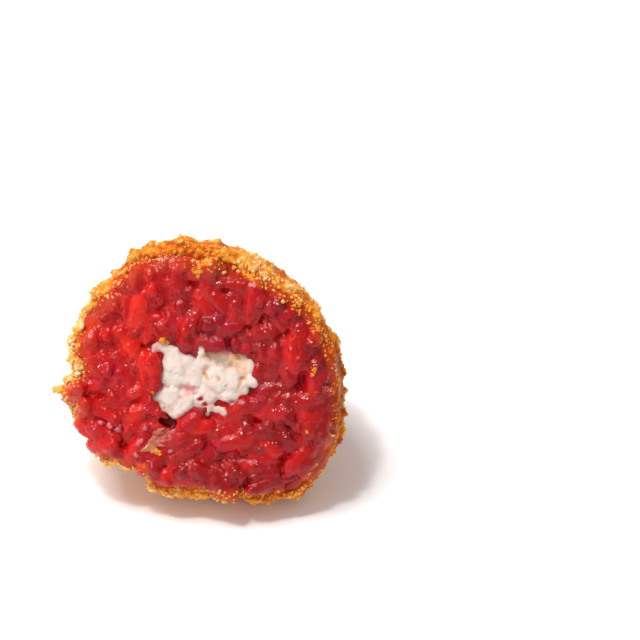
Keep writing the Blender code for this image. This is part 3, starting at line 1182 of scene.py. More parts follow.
@dataclass(frozen=True)
class SkinRelief:
    """How a fused skin is softened and roughened."""

    softening: int  # rounds of smoothing
    blending: int  # rounds of smoothing of the tones
    spacing: float  # of the relief
    height: float  # of the relief
    middle: float = 0.5  # of the relief's noise
    detail: float = 2.0

    def finish(self, name: str, skin: Mesh, toned: Mesh, material: Material) -> Mesh:
        """Softens a fused skin, gives it fine relief and brings back the tones of what was fused.

        Args:
            name: what is made.
            skin: the fused mesh.
            toned: the mesh that carries the tones.
            material: its material.

        Returns:
            The finished mesh.
        """
        source = helper_object(f"{name}_tones", toned)
        nodes = GeometryTree(
            name, toned=source, softening=self.softening, spacing=self.spacing, height=self.height
        )
        nodes_of = nodes.add("GeometryNodeObjectInfo", {"Object": nodes.input("Toned")})
        tone = nodes.add("GeometryNodeInputNamedAttribute", {"Name": "tone"}, data_type="FLOAT").outputs[0]
        nearest = nodes.add(
            "GeometryNodeSampleNearestSurface",
            {"Mesh": nodes_of.outputs["Geometry"], "Value": tone},
            data_type="FLOAT",
        )
        soft = nodes.add("GeometryNodeBlurAttribute", {"Value": tone, "Iterations": self.blending})
        geometry = nodes.input("Geometry")
        for value in (nearest, soft):
            stored = {"Geometry": geometry, "Name": "tone", "Value": value.outputs[0]}
            geometry = nodes.add("GeometryNodeStoreNamedAttribute", stored, data_type="FLOAT").outputs[0]
        place = nodes.add("GeometryNodeInputPosition").outputs[0]
        rounds = {"Value": place, "Iterations": nodes.input("Softening")}
        blurred = nodes.add("GeometryNodeBlurAttribute", rounds, data_type="FLOAT_VECTOR")
        softened = nodes.add(
            "GeometryNodeSetPosition", {"Geometry": geometry, "Position": blurred.outputs[0]}
        )
        scale = nodes.add("ShaderNodeMath", {0: 1.0, 1: nodes.input("Spacing")}, operation="DIVIDE")
        pattern = {"Vector": place, "Scale": scale.outputs[0], "Detail": self.detail}
        grain = nodes.add("ShaderNodeTexNoise", pattern)
        level = nodes.add("ShaderNodeMath", {0: grain.outputs["Fac"], 1: self.middle}, operation="SUBTRACT")
        raising = {0: level.outputs[0], 1: nodes.input("Height")}
        lift = nodes.add("ShaderNodeMath", raising, operation="MULTIPLY")
        push = {0: nodes.add("GeometryNodeInputNormal").outputs[0], "Scale": lift.outputs[0]}
        pushed = nodes.add("ShaderNodeVectorMath", push, operation="SCALE").outputs[0]
        rough = nodes.add("GeometryNodeSetPosition", {"Geometry": softened.outputs[0], "Offset": pushed})
        nodes.close(rough.outputs[0], material)
        result = nodes.run(skin)
        bpy.data.objects.remove(source)
        return result


@dataclass
class Crust:
    """The breaded crust: a craggy shell with granules of crumb fused to it and a broken rim."""

    cells: int = 84
    inner_cells: int = 44
    inner_ragged: float = 0.3 * MM  # how unevenly the crust meets the rice at the rim
    inner_spacing: float = 2.2 * MM
    voxel: float = 0.31 * MM
    relief: SkinRelief = SkinRelief(softening=1, blending=1, spacing=0.6 * MM, height=0.3 * MM)
    least: float = 0.35 * MM  # thickness of the crust where it is thinnest
    # How far the glaze lies under the CAD's surface, to make room for crumbs, each 30 degrees from +X to +Y
    settled: tuple[float, ...] = tuple(in_mm(0.4, 0.2, 0.4, 0.8, 0.5, 0.3, 0.4, 0.3, 0.9, 0.4, 0.1, 0.1))
    settled_above: float = 2 * MM  # height above the floor from which it does so in full
    inner_wall: float = 0.12 * MM  # how near a vertex is to the rice for it to be on the inside
    clear: float = 0.3 * MM  # height above the floor up to which no crumbs stick
    rim_depth: float = 1.1 * MM  # how far below the broken edge its crumbs reach
    torn_pull: float = 0.6 * MM  # how far the torn crust goes under the rice
    torn_bare: float = 0.85  # how far the tear keeps crumbs off the rim
    # Thin patches behind: spacing of the patches and of the specks in them, and how much the specks count
    thin_spacings: Pair = (7 * MM, 2.5 * MM)
    thin_specks: float = 0.6
    thin_edge: Rise = (-0.05, 0.6)
    thin_most: float = 0.8
    thin_depth: Rise = (4 * MM, 5 * MM)
    thin_bare: float = 0.35  # how far they keep crumbs off
    soaked: float = 1.0 * MM  # how far the rice's red has run into the crust
    soaked_most: float = 0.6
    stain_and_shadow_zone: Rise = (-3 * MM, 2 * MM)  # along the ball's Z from the face
    soaked_ragged: Pair = (0.7, 1.5 * MM)
    # How pale the crust is near the rim, partly from its frying and partly painted light towards the left and
    # painted shade towards the right, each 30 degrees round from +X to +Y, and behind
    rim_pale_and_painted_light: tuple[float, ...] = (-0.5, 0.1, 0.4, -0.1, 0.0, 0.35, 0.5, 0.25, 0.15, 0.25, -0.1, -0.4)
    back_pale: float = 0.62
    back_depth: Rise = (3 * MM, 8 * MM)
    cluster: Triple = (3.2 * MM, -0.25, 0.4)  # patches where many crumbs stick
    sparse: float = 0.2  # share of the crumbs that stick outside them
    # Clumps that stand out of the outline: degrees round the face from +X to +Y, radius and depth in mm
    clumps: tuple[Triple, ...] = (
        (145, 1.6, 0.7), (147, 0.8, 0.4), (121, 1.1, 0.8), (124, 0.8, 0.6), (102, 1.0, 0.9),
        (95, 0.9, 0.9), (189, 1.3, 1.0), (185, 0.9, 0.7), (194, 0.9, 0.9), (168, 1.0, 0.8),
        (157, 0.8, 0.8), (133, 0.8, 0.8), (203, 0.7, 0.8), (258, 0.6, 0.9), (282, 0.8, 1.2),
        (293, 0.8, 1.2), (54, 0.8, 1.0),
    )
    clump_shape: Triple = (1.0, 0.8, 0.9)
    clump_lean: float = 0.7  # how far one leans over for how far it is turned
    clump_out: float = 0.45  # how far its middle stands out of the glaze, as a share of its radius
    clump_tone: float = 0.6

    def outside_point(self, direction: Vector) -> Vector:
        """Where a line from the ball's centre meets the glaze, which dips under the rice at the tear.

        Args:
            direction: of the line, of length 1.

        Returns:
            The point.
        """
        radius = FORM.plain_radius(direction)
        plain = direction * radius
        above = smooth(FORM.height_above_floor(plain) / self.settled_above)
        x, y = direction.xy
        settled = around(self.settled, x, y) - FORM.bulge(x, y) * (x**2 + y**2)
        core = FORM.core_point(direction).length
        out = max(radius + FORM.crag(plain) - settled * above, core + self.least)
        point = FORM.on_floor(FORM.broken(direction * out))
        under = around(FORM.border, x, y) + self.torn_pull
        return point - point.normalized() * under * FORM.tear(point)

    def ground_mesh(self) -> Mesh:
        """Makes the plain crust, closed across the face, that the granules stick to.

        Returns:
            Its mesh.
        """
        bm = round_cube(self.cells)
        for vertex in bm.verts:
            vertex.co = self.outside_point(vertex.co)
        mesh = mesh_of("crust_ground", bm)
        self.mark(mesh)
        write_values(mesh, "tone", [0.0] * len(mesh.vertices))
        return mesh

    def mark(self, mesh: Mesh) -> None:
        """Writes on a mesh where the crust is thin or pale, and where crumbs stick.

        Args:
            mesh: the crust, in the ball's frame.
        """
        points = [vertex.co.copy() for vertex in mesh.vertices]
        thin = [self.thinness(point) for point in points]
        write_values(mesh, "thin", thin)
        write_values(mesh, "rim", [self.rim(point) for point in points])
        write_values(mesh, "cover", [self.cover(point, share) for point, share in zip(points, thin)])
        write_values(mesh, "pale", [self.pale(point) for point in points])

    def thinness(self, point: Vector) -> float:
        """How far the red rice shows through the crust.

        Args:
            point: a point of the ball's frame.

        Returns:
            From 0, not at all, to 1.
        """
        patch, speck = (noise.noise(point / spacing) for spacing in self.thin_spacings)
        bare = self.thin_most * rising(patch + self.thin_specks * speck, *self.thin_edge)
        near_face = rising(point.z - FORM.face_offset, *self.stain_and_shadow_zone)
        reach = FORM.inside(point) * ragged(point, *self.soaked_ragged) / self.soaked
        soaked = smooth(1 + reach) * self.soaked_most * near_face
        return min(1.0, max(bare * rising(FORM.depth(point), *self.thin_depth), soaked, FORM.tear(point)))

    def pale(self, point: Vector) -> float:
        """How pale the crust is at a point: its frying, with painted light and painted shade round the rim.
        """
        behind = rising(FORM.depth(point), *self.back_depth)
        return around(self.rim_pale_and_painted_light, point.x, point.y) * (1 - behind) + self.back_pale * behind

    def is_hidden(self, point: Vector) -> bool:
        """Whether a point is on the crust's inside or on the floor."""
        inside = point.length < FORM.core_point(point.normalized()).length + self.inner_wall
        return inside or FORM.height_above_floor(point) < self.clear

    def rim(self, point: Vector) -> float:
        """How near a point is to the broken edge, from 0 to 1, where crumbs stick to it."""
        near = smooth(1 - (FORM.face_offset + FORM.face_sway(point.x, point.y) - point.z) / self.rim_depth)
        return 0.0 if self.is_hidden(point) else near * (1 - self.torn_bare * FORM.tear(point))

    def cover(self, point: Vector, thin: float) -> float:
        """How many crumbs stick to the crust.

        Args:
            point: a point of the ball's frame.
            thin: how far the rice shows through there.

        Returns:
            From 0, none, to 1.
        """
        if self.is_hidden(point):
            return 0.0
        sticking = self.sparse + (1 - self.sparse) * patchy(point, *self.cluster)
        return max(sticking, self.rim(point)) * (1 - self.thin_bare * thin)

    def clump_places(self) -> list[dict]:
        """Finds where the clumps go, each half sunk in the glaze.

        Returns:
            Their places, as points_mesh takes them.
        """
        places = []
        for degrees, radius, depth in self.clumps:
            size, turn = radius * MM, math.radians(degrees)
            across, up = math.cos(turn) * FORM.radius, math.sin(turn) * FORM.radius
            direction = Vector((across, up, FORM.face_offset - depth * MM)).normalized()
            places.append(
                {
                    "at": self.outside_point(direction) + direction * self.clump_out * size,
                    "turn": (degrees, self.clump_lean * degrees, 0),
                    "size": [size * share for share in self.clump_shape],
                    "tone": self.clump_tone,
                }
            )
        return places

    def inner_mesh(self) -> Mesh:
        """Makes what the shell is hollowed out with.

        Returns:
            One closed mesh.
        """
        bm = round_cube(self.inner_cells)
        for vertex in bm.verts:
            point = FORM.core_point(vertex.co)
            uneven = self.inner_ragged * max(noise.noise(point / self.inner_spacing), 0)
            vertex.co = point - point.normalized() * uneven * FORM.near_rim(point)
        return mesh_of("inside", bm)

    def build(self) -> Material:
        """Builds the crust and the crumbs on it, and hands them in.

        Returns:
            The crumbs' material.
        """
        material = FriedBreading().make()
        ground = self.ground_mesh()
        coat = CrumbCoat(CrumbKind.GRANULE)
        granules = coat.scatter(ground.copy(), material)
        clumps = set_down_shapes("crust_clumps", self.clump_places(), coat.crumb_shapes(), material)
        raw = joined("crust_raw", [ground, granules, clumps])
        skin = carved(fused(raw.copy(), self.voxel), self.inner_mesh())
        mesh = self.relief.finish("crust_shell", skin, raw, material)
        for vertex in mesh.vertices:
            vertex.co = FORM.on_floor(vertex.co)
        self.mark(mesh)
        hand_in("crust_shell", mesh.copy(), material, "breaded_risotto")
        crumb = LooseCrumb().make()
        for kind in (CrumbKind.FINE, CrumbKind.RIM):
            hand_in(kind.value[0], CrumbCoat(kind).scatter(mesh.copy(), crumb), crumb)
        return crumb


@dataclass
class Risotto:
    """The rice of the open face: a core with the grains that show, fused into one wet skin."""

    grain_length: float = 7.6 * MM
    grain_width: float = 3.4 * MM
    grain_count: int = 80
    grain_tries: int = 160
    grain_shapes: int = 3
    blunt: int = 3  # power that makes a grain's ends blunt, where a ball's is 2
    taper: float = 0.08
    bend: float = 0.08
    dent: float = 0.24
    dent_scale: float = 1.4
    grain_sizes: Span = (0.88, 1.1)
    grain_lift: Span = (-0.5 * MM, 0.25 * MM)
    grain_lean: float = math.radians(16)
    grain_spin: float = math.radians(30)
    grain_tones: tuple[float, ...] = (0.4, 0.47, 0.54, 0.61, 0.68)
    shown_lean: float = 0.3  # how much of that lean the grains that stand out have
    shown_tone: float = 0.8
    crust_margin: float = 0.85 * MM
    cheese_margin: float = 0.4 * MM
    filler_count: int = 280
    filler_widths: Span = (0.55, 0.9)  # as shares of a whole grain's
    filler_lengths: Span = (1.1, 2.2)  # as shares of its own width
    filler_clear: float = 0.7  # of its width inside the crust
    filler_lean: float = 0.9
    filler_lift: Span = (-0.6 * MM, 0.5 * MM)
    filler_tones: Span = (0.25, 0.6)
    raised: float = 0.45 * MM  # how far the bed stands above the CAD's
    heap: float = 0.9 * MM  # how far the rice is heaped up near the crust
    heap_share: Rise = (0.65, 0.3)  # of the way there
    fall: float = 0.4 * MM  # how far it falls again right beside the crust
    fall_share: Rise = (0.94, 0.08)
    voxel: float = 0.2 * MM
    relief: SkinRelief = SkinRelief(softening=2, blending=6, spacing=0.6 * MM, height=0.32 * MM)
    bed_cells: int = 60
    core_cells: int = 24
    plug: float = 3.2 * MM  # how deep the finely made rice goes
    plug_overlap: float = 0.6 * MM  # how far the plain core runs into it
    core_share: float = 0.985  # of the room inside the crust
    overlap: float = 0.3 * MM  # how far the rice runs into the crust
    top: float = 1.5 * MM  # how deep under the face things still lie on the rice
    edge_width: float = 1.1 * MM  # of the rim that the crust has stained orange
    edge_most: float = 0.7
    edge_patch: Pair = (0.85, 3 * MM)  # its middle value and its spacing
    warm_width: float = 3.2 * MM  # of the orange red band inside the crust at the upper left
    warm_most: float = 0.36
    warm_steepness: float = 1.3
    warm_side: Pair = (-1.0, 0.8)  # across and up the face
    warm_zone: Rise = (4 * MM, 10 * MM)
    crumb_reach: Pair = (0.3 * MM, 0.4)  # in from the crust, plus a share of its width
    crumb_edge: float = 1.2
    crumb_cluster: Triple = (2.6 * MM, -0.45, 0.4)
    painted_shade_height: float = 1.0 * MM  # how far above its bed the painted shade between the grains reaches
    painted_shade_fade: float = 1.3 * MM
    painted_shade_most: float = 0.8
    painted_shadow_side: float = 0.45  # how much darker the painted shadow makes the rice away from the left
    painted_shadow_bow: float = 0.25
    stain_and_shadow_zone: Rise = (-9 * MM, 16 * MM)
    glint_half_vector: Triple = (-0.13, 0.54, 0.83)  # the grains' upper side, half-way between the key light and the camera, where painted glints go
    glint_slope: Rise = (0.87, 0.08)
    glint_patch: Triple = (1.6 * MM, 0.06, 0.2)
    cut_balls: tuple[tuple[float, int], ...] = ((1, -1), (0.8, 0), (0.8, 1))  # radius and rise in radii
    cut_voxel: float = 0.25 * MM
    seed: int = 7
    # Grains that stand out by eye: middle across and up the face in mm, and turn from the face's X
    shown: tuple[Triple, ...] = (
        (5.6, -11.4, 20), (10.8, -11.8, -22), (7.6, -15.6, 2), (4.9, 11.6, 88), (-11.0, 10.2, 80),
        (0.0, 10.6, -50), (12.0, -6.4, 4), (17.0, -8.0, 86), (-1.5, -9.6, 3), (-11.3, -8.0, 32),
        (-16.6, -3.0, 24), (-13.0, 4.6, -62), (14.6, 3.6, -75),
    )
    # Grains that reach the outline where the crust is torn, given the same way
    at_tear: tuple[Triple, ...] = (
        (-19.4, -8.6, 60), (-18.6, -10.4, 150), (-17.0, -12.2, 40), (-16.2, -13.2, 165),
        (-17.6, -9.4, 10),
    )
    torn_size: Pair = (0.28, 0.4)  # half length and half width, as shares of a whole grain's
    torn_depth: float = 1.2 * MM
    torn_lean: Pair = (0.3, 0.25)
    # Hollows in mm: middle across and up the face, radius, and height of the top above the face
    hollows: tuple[Four, ...] = (
        (-4.5, -8.3, 1.0, 1.6), (-5.5, -8.0, 0.9, 1.4), (-6.3, -7.6, 0.7, 1.0),
    )

    def bed(self, x: float, y: float) -> float:
        """How high the rice under the grains stands.

        Args:
            x: across the face.
            y: up the face.

        Returns:
            The height along the ball's Z.
        """
        share = math.hypot(x, y) / FORM.rice_radius(x, y)
        heaped = self.heap * rising(share, *self.heap_share) - self.fall * rising(share, *self.fall_share)
        return FORM.bed_height(x, y) + self.raised + heaped

    def grain_mesh(self, number: int) -> Mesh:
        """Makes one cooked grain: plump, blunt and slightly bent.

        Args:
            number: which of the shapes.

        Returns:
            Its mesh along X, of length and width 2.
        """
        bm = bmesh.new()
        bmesh.ops.create_uvsphere(bm, u_segments=12, v_segments=9, radius=1)
        for vertex in bm.verts:
            along = vertex.co.z
            size = (abs(along) ** self.blunt + vertex.co.xy.length**self.blunt) ** (1 / self.blunt)
            across = vertex.co / size
            across.xy *= 1 + self.taper * along
            across.x += (self.bend + self.bend * number) * along**2
            dent = self.dent * noise.noise(vertex.co * self.dent_scale + Vector((number * 5.0, 0, 0)))
            vertex.co = Vector((across.z, across.x, across.y)) * (1 + dent)
        return mesh_of(f"grain_{number}", bm)

    def backbone(self, place: Triple) -> tuple[Vector, Vector, Vector]:
        """Finds a grain's axis on the face.

        Args:
            place: middle across and up the face, and turn.

        Returns:
            The axis's first end, middle and last end.
        """
        x, y, turn = place
        along = Vector((math.cos(turn), math.sin(turn))) * 0.5 * (self.grain_length - self.grain_width)
        middle = Vector((x, y))
        return (middle - along, middle, middle + along)

    def fits(self, place: Triple, lumps: Lumps) -> bool:
        """Whether a grain stays inside the crust and out of the cheese.

        Args:
            place: middle across and up the face, and turn.
            lumps: the cheese's lumps.

        Returns:
            True if it does.
        """
        ends = self.backbone(place)
        inside = all(end.length + self.crust_margin < FORM.grain_radius(*end) for end in ends)
        in_cheese = any(
            (end - Vector((x, y))).length < radius + self.cheese_margin
            for x, y, radius, _ in lumps
            for end in ends
        )
        return inside and not in_cheese

    def grain_places(self, draw: random.Random, lumps: Lumps) -> list[Triple]:
        """Finds places for the grains on top: those that stand out, then each next in the emptiest place.

        Args:
            draw: where the random numbers come from.
            lumps: the cheese's lumps.

        Returns:
            Middle across and up the face, and turn, of each.
        """
        right, up = FORM.slide
        places = [(x * MM + right, y * MM + up, math.radians(turn)) for x, y, turn in self.shown]
        taken = [self.backbone(place) for place in places]

        def room(place: Triple) -> float:
            """Distance from a grain to the nearest of those that have their place."""
            return min((a - b).length for other in taken for a in self.backbone(place) for b in other)

        while len(places) < self.grain_count:
            tried = [(*FORM.draw_place(draw), draw.uniform(0, math.pi)) for _ in range(self.grain_tries)]
            fitting = [place for place in tried if self.fits(place, lumps)]
            if fitting:
                places.append(max(fitting, key=room))
                taken.append(self.backbone(places[-1]))
        return places

    def top_grains(self, draw: random.Random, lumps: Lumps) -> list[dict]:
        """Lays the grains on top, as in the CAD source.

        Args:
            draw: where the random numbers come from.
            lumps: the cheese's lumps.

        Returns:
            Their places, as points_mesh takes them.
        """
        grains = []
        for number, (x, y, turn) in enumerate(self.grain_places(draw, lumps)):
            stands_out = number < len(self.shown)
            lift = self.grain_lift[1] if stands_out else draw.uniform(*self.grain_lift)
            lean = draw.uniform(-self.grain_lean, self.grain_lean) * (self.shown_lean if stands_out else 1)
            spin = draw.uniform(-self.grain_spin, self.grain_spin)
            share = draw.uniform(*self.grain_sizes) / 2
            turned = Matrix.Rotation(turn, 3, "Z") @ Matrix.Rotation(lean, 3, "Y")
            tone = self.grain_tones[number % len(self.grain_tones)]
            grains.append(
                {
                    "at": (x, y, self.bed(x, y) + lift),
                    "turn": (turned @ Matrix.Rotation(spin, 3, "X")).to_euler(),
                    "size": (self.grain_length * share, self.grain_width * share, self.grain_width * share),
                    "tone": self.shown_tone if stands_out else tone,
                }
            )
        return grains

    def filler_grains(self, draw: random.Random, lumps: Lumps) -> list[dict]:
        """Lays whole and broken grains every way between and under those on top.

        Args:
            draw: where the random numbers come from.
            lumps: the cheese's lumps.

        Returns:
            Their places, as points_mesh takes them.
        """
        grains = []
        while len(grains) < self.filler_count:
            x, y = FORM.draw_place(draw)
            width = self.grain_width / 2 * draw.uniform(*self.filler_widths)
            length = width * draw.uniform(*self.filler_lengths)
            inside = math.hypot(x, y) + self.filler_clear * width < FORM.rice_radius(x, y)
            in_cheese = any(math.hypot(x - lx, y - ly) < radius for lx, ly, radius, _ in lumps)
            if not inside or in_cheese:
                continue
            lean = (-self.filler_lean, self.filler_lean)
            turn = Euler((draw.uniform(0, ANY_TURN), draw.uniform(*lean), draw.uniform(0, ANY_TURN)))
            grains.append(
                {
                    "at": (x, y, self.bed(x, y) + draw.uniform(*self.filler_lift)),
                    "turn": turn,
                    "size": (length, width, width),
                    "tone": draw.uniform(*self.filler_tones),
                }
            )
        return grains

    def torn_grains(self) -> list[dict]:
        """Lays the grains at the torn edge.

        Returns:
            Their places, as points_mesh takes them.
        """
        length, width = self.torn_size[0] * self.grain_length, self.torn_size[1] * self.grain_width
        return [
            {
                "at": (*in_mm(x, y), FORM.face_offset - self.torn_depth),
                "turn": (*self.torn_lean, math.radians(turn)),
                "size": (length, width, width),
                "tone": self.shown_tone,
            }
            for x, y, turn in self.at_tear
        ]

    def cutter(self, lumps: Lumps) -> Mesh:
        """Makes what is carved out of the rice: hollows, and the room for the cheese.

        Args:
            lumps: the cheese's lumps.

        Returns:
            One closed mesh.
        """
        bm = bmesh.new()
        for x, y, radius, height in [in_mm(*hollow) for hollow in self.hollows] + lumps:
            # The smaller balls on top clear what rice would lie over the lump.
            for share, rise in self.cut_balls:
                at = Matrix.Translation((x, y, FORM.face_offset + height + rise * radius))
                bmesh.ops.create_icosphere(bm, subdivisions=3, radius=radius * share, matrix=at)
        return fused(mesh_of("rice_cutter", bm), self.cut_voxel)

    def core_mesh(self, cells: int, low: float, high: float, share: float) -> Mesh:
        """Makes the rice under the grains: the inside of the crust, cut off along its bed.

        Args:
            cells: how finely it is made.
            low: lowest height that it reaches.
            high: highest height that it reaches.
            share: of the room inside the crust, to each side.

        Returns:
            One closed mesh.
        """
        bm = round_cube(cells)
        for vertex in bm.verts:
            point = FORM.core_point(vertex.co) * share
            point.z = min(max(point.z, low), self.bed(point.x, point.y), high)
            vertex.co = point
        return mesh_of("rice_core", bm)

    def edge(self, point: Vector) -> float:
        """How far the crust has stained the rice.

        Args:
            point: a point of the ball's frame.

        Returns:
            From 0, not at all, to 1.
        """
        inside = FORM.inside(point)
        middle, spacing = self.edge_patch
        stained = smooth(1 - inside / self.edge_width) * (middle + noise.noise(point / spacing))
        across, up = self.warm_side
        warm_side = rising(up * point.y + across * point.x, *self.warm_zone)
        warm = self.warm_most * smooth(self.warm_steepness * (1 - inside / self.warm_width)) * warm_side
        return max(self.edge_most * min(max(stained, 0.0), 1.0), warm) * (1 - FORM.tear(point))

    def crumby(self, point: Vector) -> float:
        """How many crumbs lie on the rice, in clusters beside the crust.

        Args:
            point: a point of the ball's frame.

        Returns:
            From 0, none, to 1.
        """
        if FORM.depth(point) >= self.top:
            return 0.0
        least, share = self.crumb_reach
        reach = least + share * around(FORM.border, point.x, point.y)
        near = smooth(self.crumb_edge - FORM.inside(point) / reach)
        return near * patchy(point, *self.crumb_cluster) * (1 - FORM.tear(point))

    def starchy(self, point: Vector, outwards: Vector) -> float:
        """Where painted glints go, from 0 to 1: in patches on the grains' upper sides, which face half-way
        between the key light and the camera.
        """
        upper = rising(outwards.dot(Vector(self.glint_half_vector).normalized()), *self.glint_slope)
        return upper * patchy(point, *self.glint_patch) * (FORM.depth(point) < self.top)

    def deep(self, point: Vector) -> float:
        """How much painted shade the rice has: between the grains, and a painted shadow that grows away from
        the left.

        Args:
            point: a point of the ball's frame.

        Returns:
            From 0, none, to 1.
        """
        # Painted shade: darker low down between the grains, and a painted shadow towards the right
        between = smooth((FORM.bed_height(point.x, point.y) + self.painted_shade_height - point.z) / self.painted_shade_fade)
        side = rising(point.x + self.painted_shadow_bow * abs(point.y), *self.stain_and_shadow_zone)
        return min(self.painted_shade_most * between + self.painted_shadow_side * side, 1.0)

    def build(self, lumps: Lumps) -> Mesh:
        """Builds the rice and hands it in.

        Args:
            lumps: the cheese's lumps, which the grains keep clear of.

        Returns:
            Its mesh, in the ball's frame.
        """
        draw = random.Random(self.seed)
        material = BeetrootRisotto().make()
        places = self.top_grains(draw, lumps) + self.filler_grains(draw, lumps) + self.torn_grains()
        shapes = [self.grain_mesh(number) for number in range(self.grain_shapes)]
        grains = set_down_shapes("grains", places, shapes, material)
        floor = FORM.face_offset - self.plug
        bed = self.core_mesh(self.bed_cells, floor, FORM.radius, 1 + self.overlap / FORM.radius)
        top = carved(fused(joined("rice_raw", [grains, bed]), self.voxel), self.cutter(lumps))
        core = self.core_mesh(self.core_cells, -FORM.radius, floor + self.plug_overlap, self.core_share)
        skin = carved(top, core, "UNION")
        mesh = self.relief.finish("risotto_face", skin, grains, material)
        for name, share in (("edge", self.edge), ("crumby", self.crumby), ("deep", self.deep)):
            write_values(mesh, name, [share(vertex.co) for vertex in mesh.vertices])
        write_values(mesh, "starchy", [self.starchy(vertex.co, vertex.normal) for vertex in mesh.vertices])
        hand_in("risotto", mesh.copy(), material, "breaded_risotto")
        return mesh


@dataclass
class CheeseHeart:
    """The goat's cheese: a heart inside the rice and the soft lumps that stand out of it."""

    middle: Triple = (0.2 * MM, -1.9 * MM, 0.1 * MM)
    half_size: Triple = (7.6 * MM, 4.9 * MM, 5.5 * MM)
    voxel: float = 0.18 * MM
    relief: SkinRelief = SkinRelief(softening=2, blending=2, spacing=1.3 * MM, height=0.5 * MM)
    swell: float = 0.2 * MM  # makes up for what softening takes off the lumps
    proud: float = 0.3 * MM  # how far the lumps stand above the heights given
    top: float = 2 * MM  # how deep under the face its top goes
    lump_shapes: int = 4
    lump_fullness: float = 0.5  # how much fuller than a ball a lump is near its top
    lump_dents: float = 0.14
    dent_scale: float = 1.6
    lump_spin: float = 900  # radians for each metre across, so that no two lumps lie alike
    # Lumps in mm: middle across and up the face, radius, and height above the face
    lumps: tuple[Four, ...] = (
        (-4.9, 0.9, 2.8, 0.7), (-5.6, -1.6, 2.3, 0.55), (-5.7, -4.6, 2.4, 0.85), (-7.8, -4.6, 1.0, 0.5),
        (-4.5, -6.6, 1.9, 0.7), (-6.2, -6.2, 1.3, 0.6), (-2.9, -5.4, 1.9, 0.6), (-2.0, -0.9, 2.7, 0.5),
        (-2.3, -3.0, 2.3, 0.0), (-0.6, -5.3, 1.5, 0.1), (2.6, -1.3, 3.0, 1.0), (4.6, -1.5, 2.7, 0.8),
        (6.6, -1.5, 1.2, 0.4), (7.9, -1.2, 0.95, 0.8), (8.3, -1.6, 0.7, 0.6), (6.6, -3.0, 0.8, 0.3),
        (4.4, -3.7, 2.2, 0.6), (1.0, -3.8, 2.1, 0.4), (1.3, -6.1, 0.9, 0.1), (3.6, -6.7, 0.95, 0.35),
        (2.4, -6.4, 0.7, 0.1), (5.4, -5.6, 0.7, 0.3), (0.7, -7.0, 0.5, 0.5), (-2.6, 1.2, 1.5, 0.5),
        (-0.2, 1.0, 1.6, 0.6), (-0.5, 2.4, 0.7, 0.4), (-0.5, 3.2, 0.6, 0.9), (-0.5, 3.9, 0.75, 1.0),
        (-5.4, 2.6, 1.5, 0.6), (-6.4, 3.5, 1.0, 0.6), (-7.4, 3.9, 0.85, 0.6), (-8.1, 3.5, 0.7, 0.5),
        (-8.5, 2.9, 0.45, 0.5), (1.4, 2.3, 1.9, -0.1), (3.5, 2.5, 2.1, -0.1), (5.7, 2.0, 2.0, 0.0),
        (7.2, 0.8, 1.4, 0.3), (7.6, 1.8, 0.6, 0.1), (1.2, 0.7, 1.3, 0.35),
    )
    # Dents in mm: middle across and up the face, radius and depth
    dents: tuple[Four, ...] = (
        (-2.4, -3.3, 1.9, 0.4), (-0.5, -4.8, 0.8, 0.9), (0.3, -5.6, 0.7, 0.6), (3.6, -5.3, 1.2, 0.55),
        (5.0, -5.0, 0.8, 0.35), (2.2, -5.6, 0.6, 0.4), (0.2, 0.4, 0.8, 0.25), (-6.6, -2.8, 0.9, 0.3),
        (-3.6, -4.6, 0.8, 0.25), (6.4, -0.9, 0.8, 0.35),
    )
    dent_ragged: Pair = (0.7, 0.8 * MM)
    dent_squash: float = 1.3  # how much narrower a dent is up the face
    # Flecks of rind in mm: middle across and up the face, half length, half width and turn from the face's X
    flecks: tuple[tuple[float, float, float, float, float], ...] = (
        (0.3, -0.5, 0.85, 0.3, -60), (2.5, -1.0, 0.4, 0.3, -45), (3.8, -2.2, 0.25, 0.2, 0),
        (6.1, -1.7, 0.65, 0.28, 60), (6.5, -0.9, 0.45, 0.25, 20), (5.3, 2.5, 0.7, 0.4, 30),
        (4.5, 1.6, 0.5, 0.35, 60), (3.5, -5.6, 0.8, 0.3, -30), (-5.9, -2.9, 0.3, 0.2, 0),
        (-6.4, -6.5, 0.25, 0.2, 0), (-8.2, -4.0, 0.35, 0.5, 0),
    )
    fleck_ragged: Pair = (0.5, 0.4 * MM)
    fleck_edge: float = 1.6
    fleck_most: float = 0.8
    fleck_depth: float = 0.15 * MM
    stain_patch: Triple = (1.9 * MM, 0.1, 0.4)
    stain_patches: float = 0.2
    stain_and_shade_depth: Rise = (1.2 * MM, 1.2 * MM)
    stain_and_shade_below: float = 0.8
    stain_dip: float = 0.6 * MM  # depth of a dent that is pink in full
    # Where beetroot has run in, in mm: how far, then side, start and width across, and the same up the face
    stains: tuple[tuple[float, ...], ...] = (
        (0.6, -1, 6.4, 1.6, 1, 2.4, 1.0),
        (0.25, 1, -1.5, 2.0, -1, 4.4, 1.5),
        (0.85, 1, 0.4, 0.6, 1, 2.4, 1.1),
    )
    # The beige painted shade on the sunk cheese at the upper right: its lower edge, which falls off to the
    # right, and its two sides
    beige_from: float = 1.5 * MM
    beige_fall: Triple = (0.6 * MM, 3.6, 1.3)  # how fast, from how many mm across, and the power
    beige_wander: Pair = (0.5 * MM, 1.2 * MM)  # how far the edge wanders, and its spacing
    beige_fade: float = 0.5 * MM
    beige_left: Rise = (-0.3 * MM, 0.5 * MM)
    beige_right: Rise = (-7.6 * MM, 0.6 * MM)  # counted to the left

    def outlines(self) -> Lumps:
        """The lumps in metres, where they end up on the face."""
        right, up = FORM.slide
        lumps = (in_mm(*lump) for lump in self.lumps)
        return [[x + right, y + up, radius, height] for x, y, radius, height in lumps]

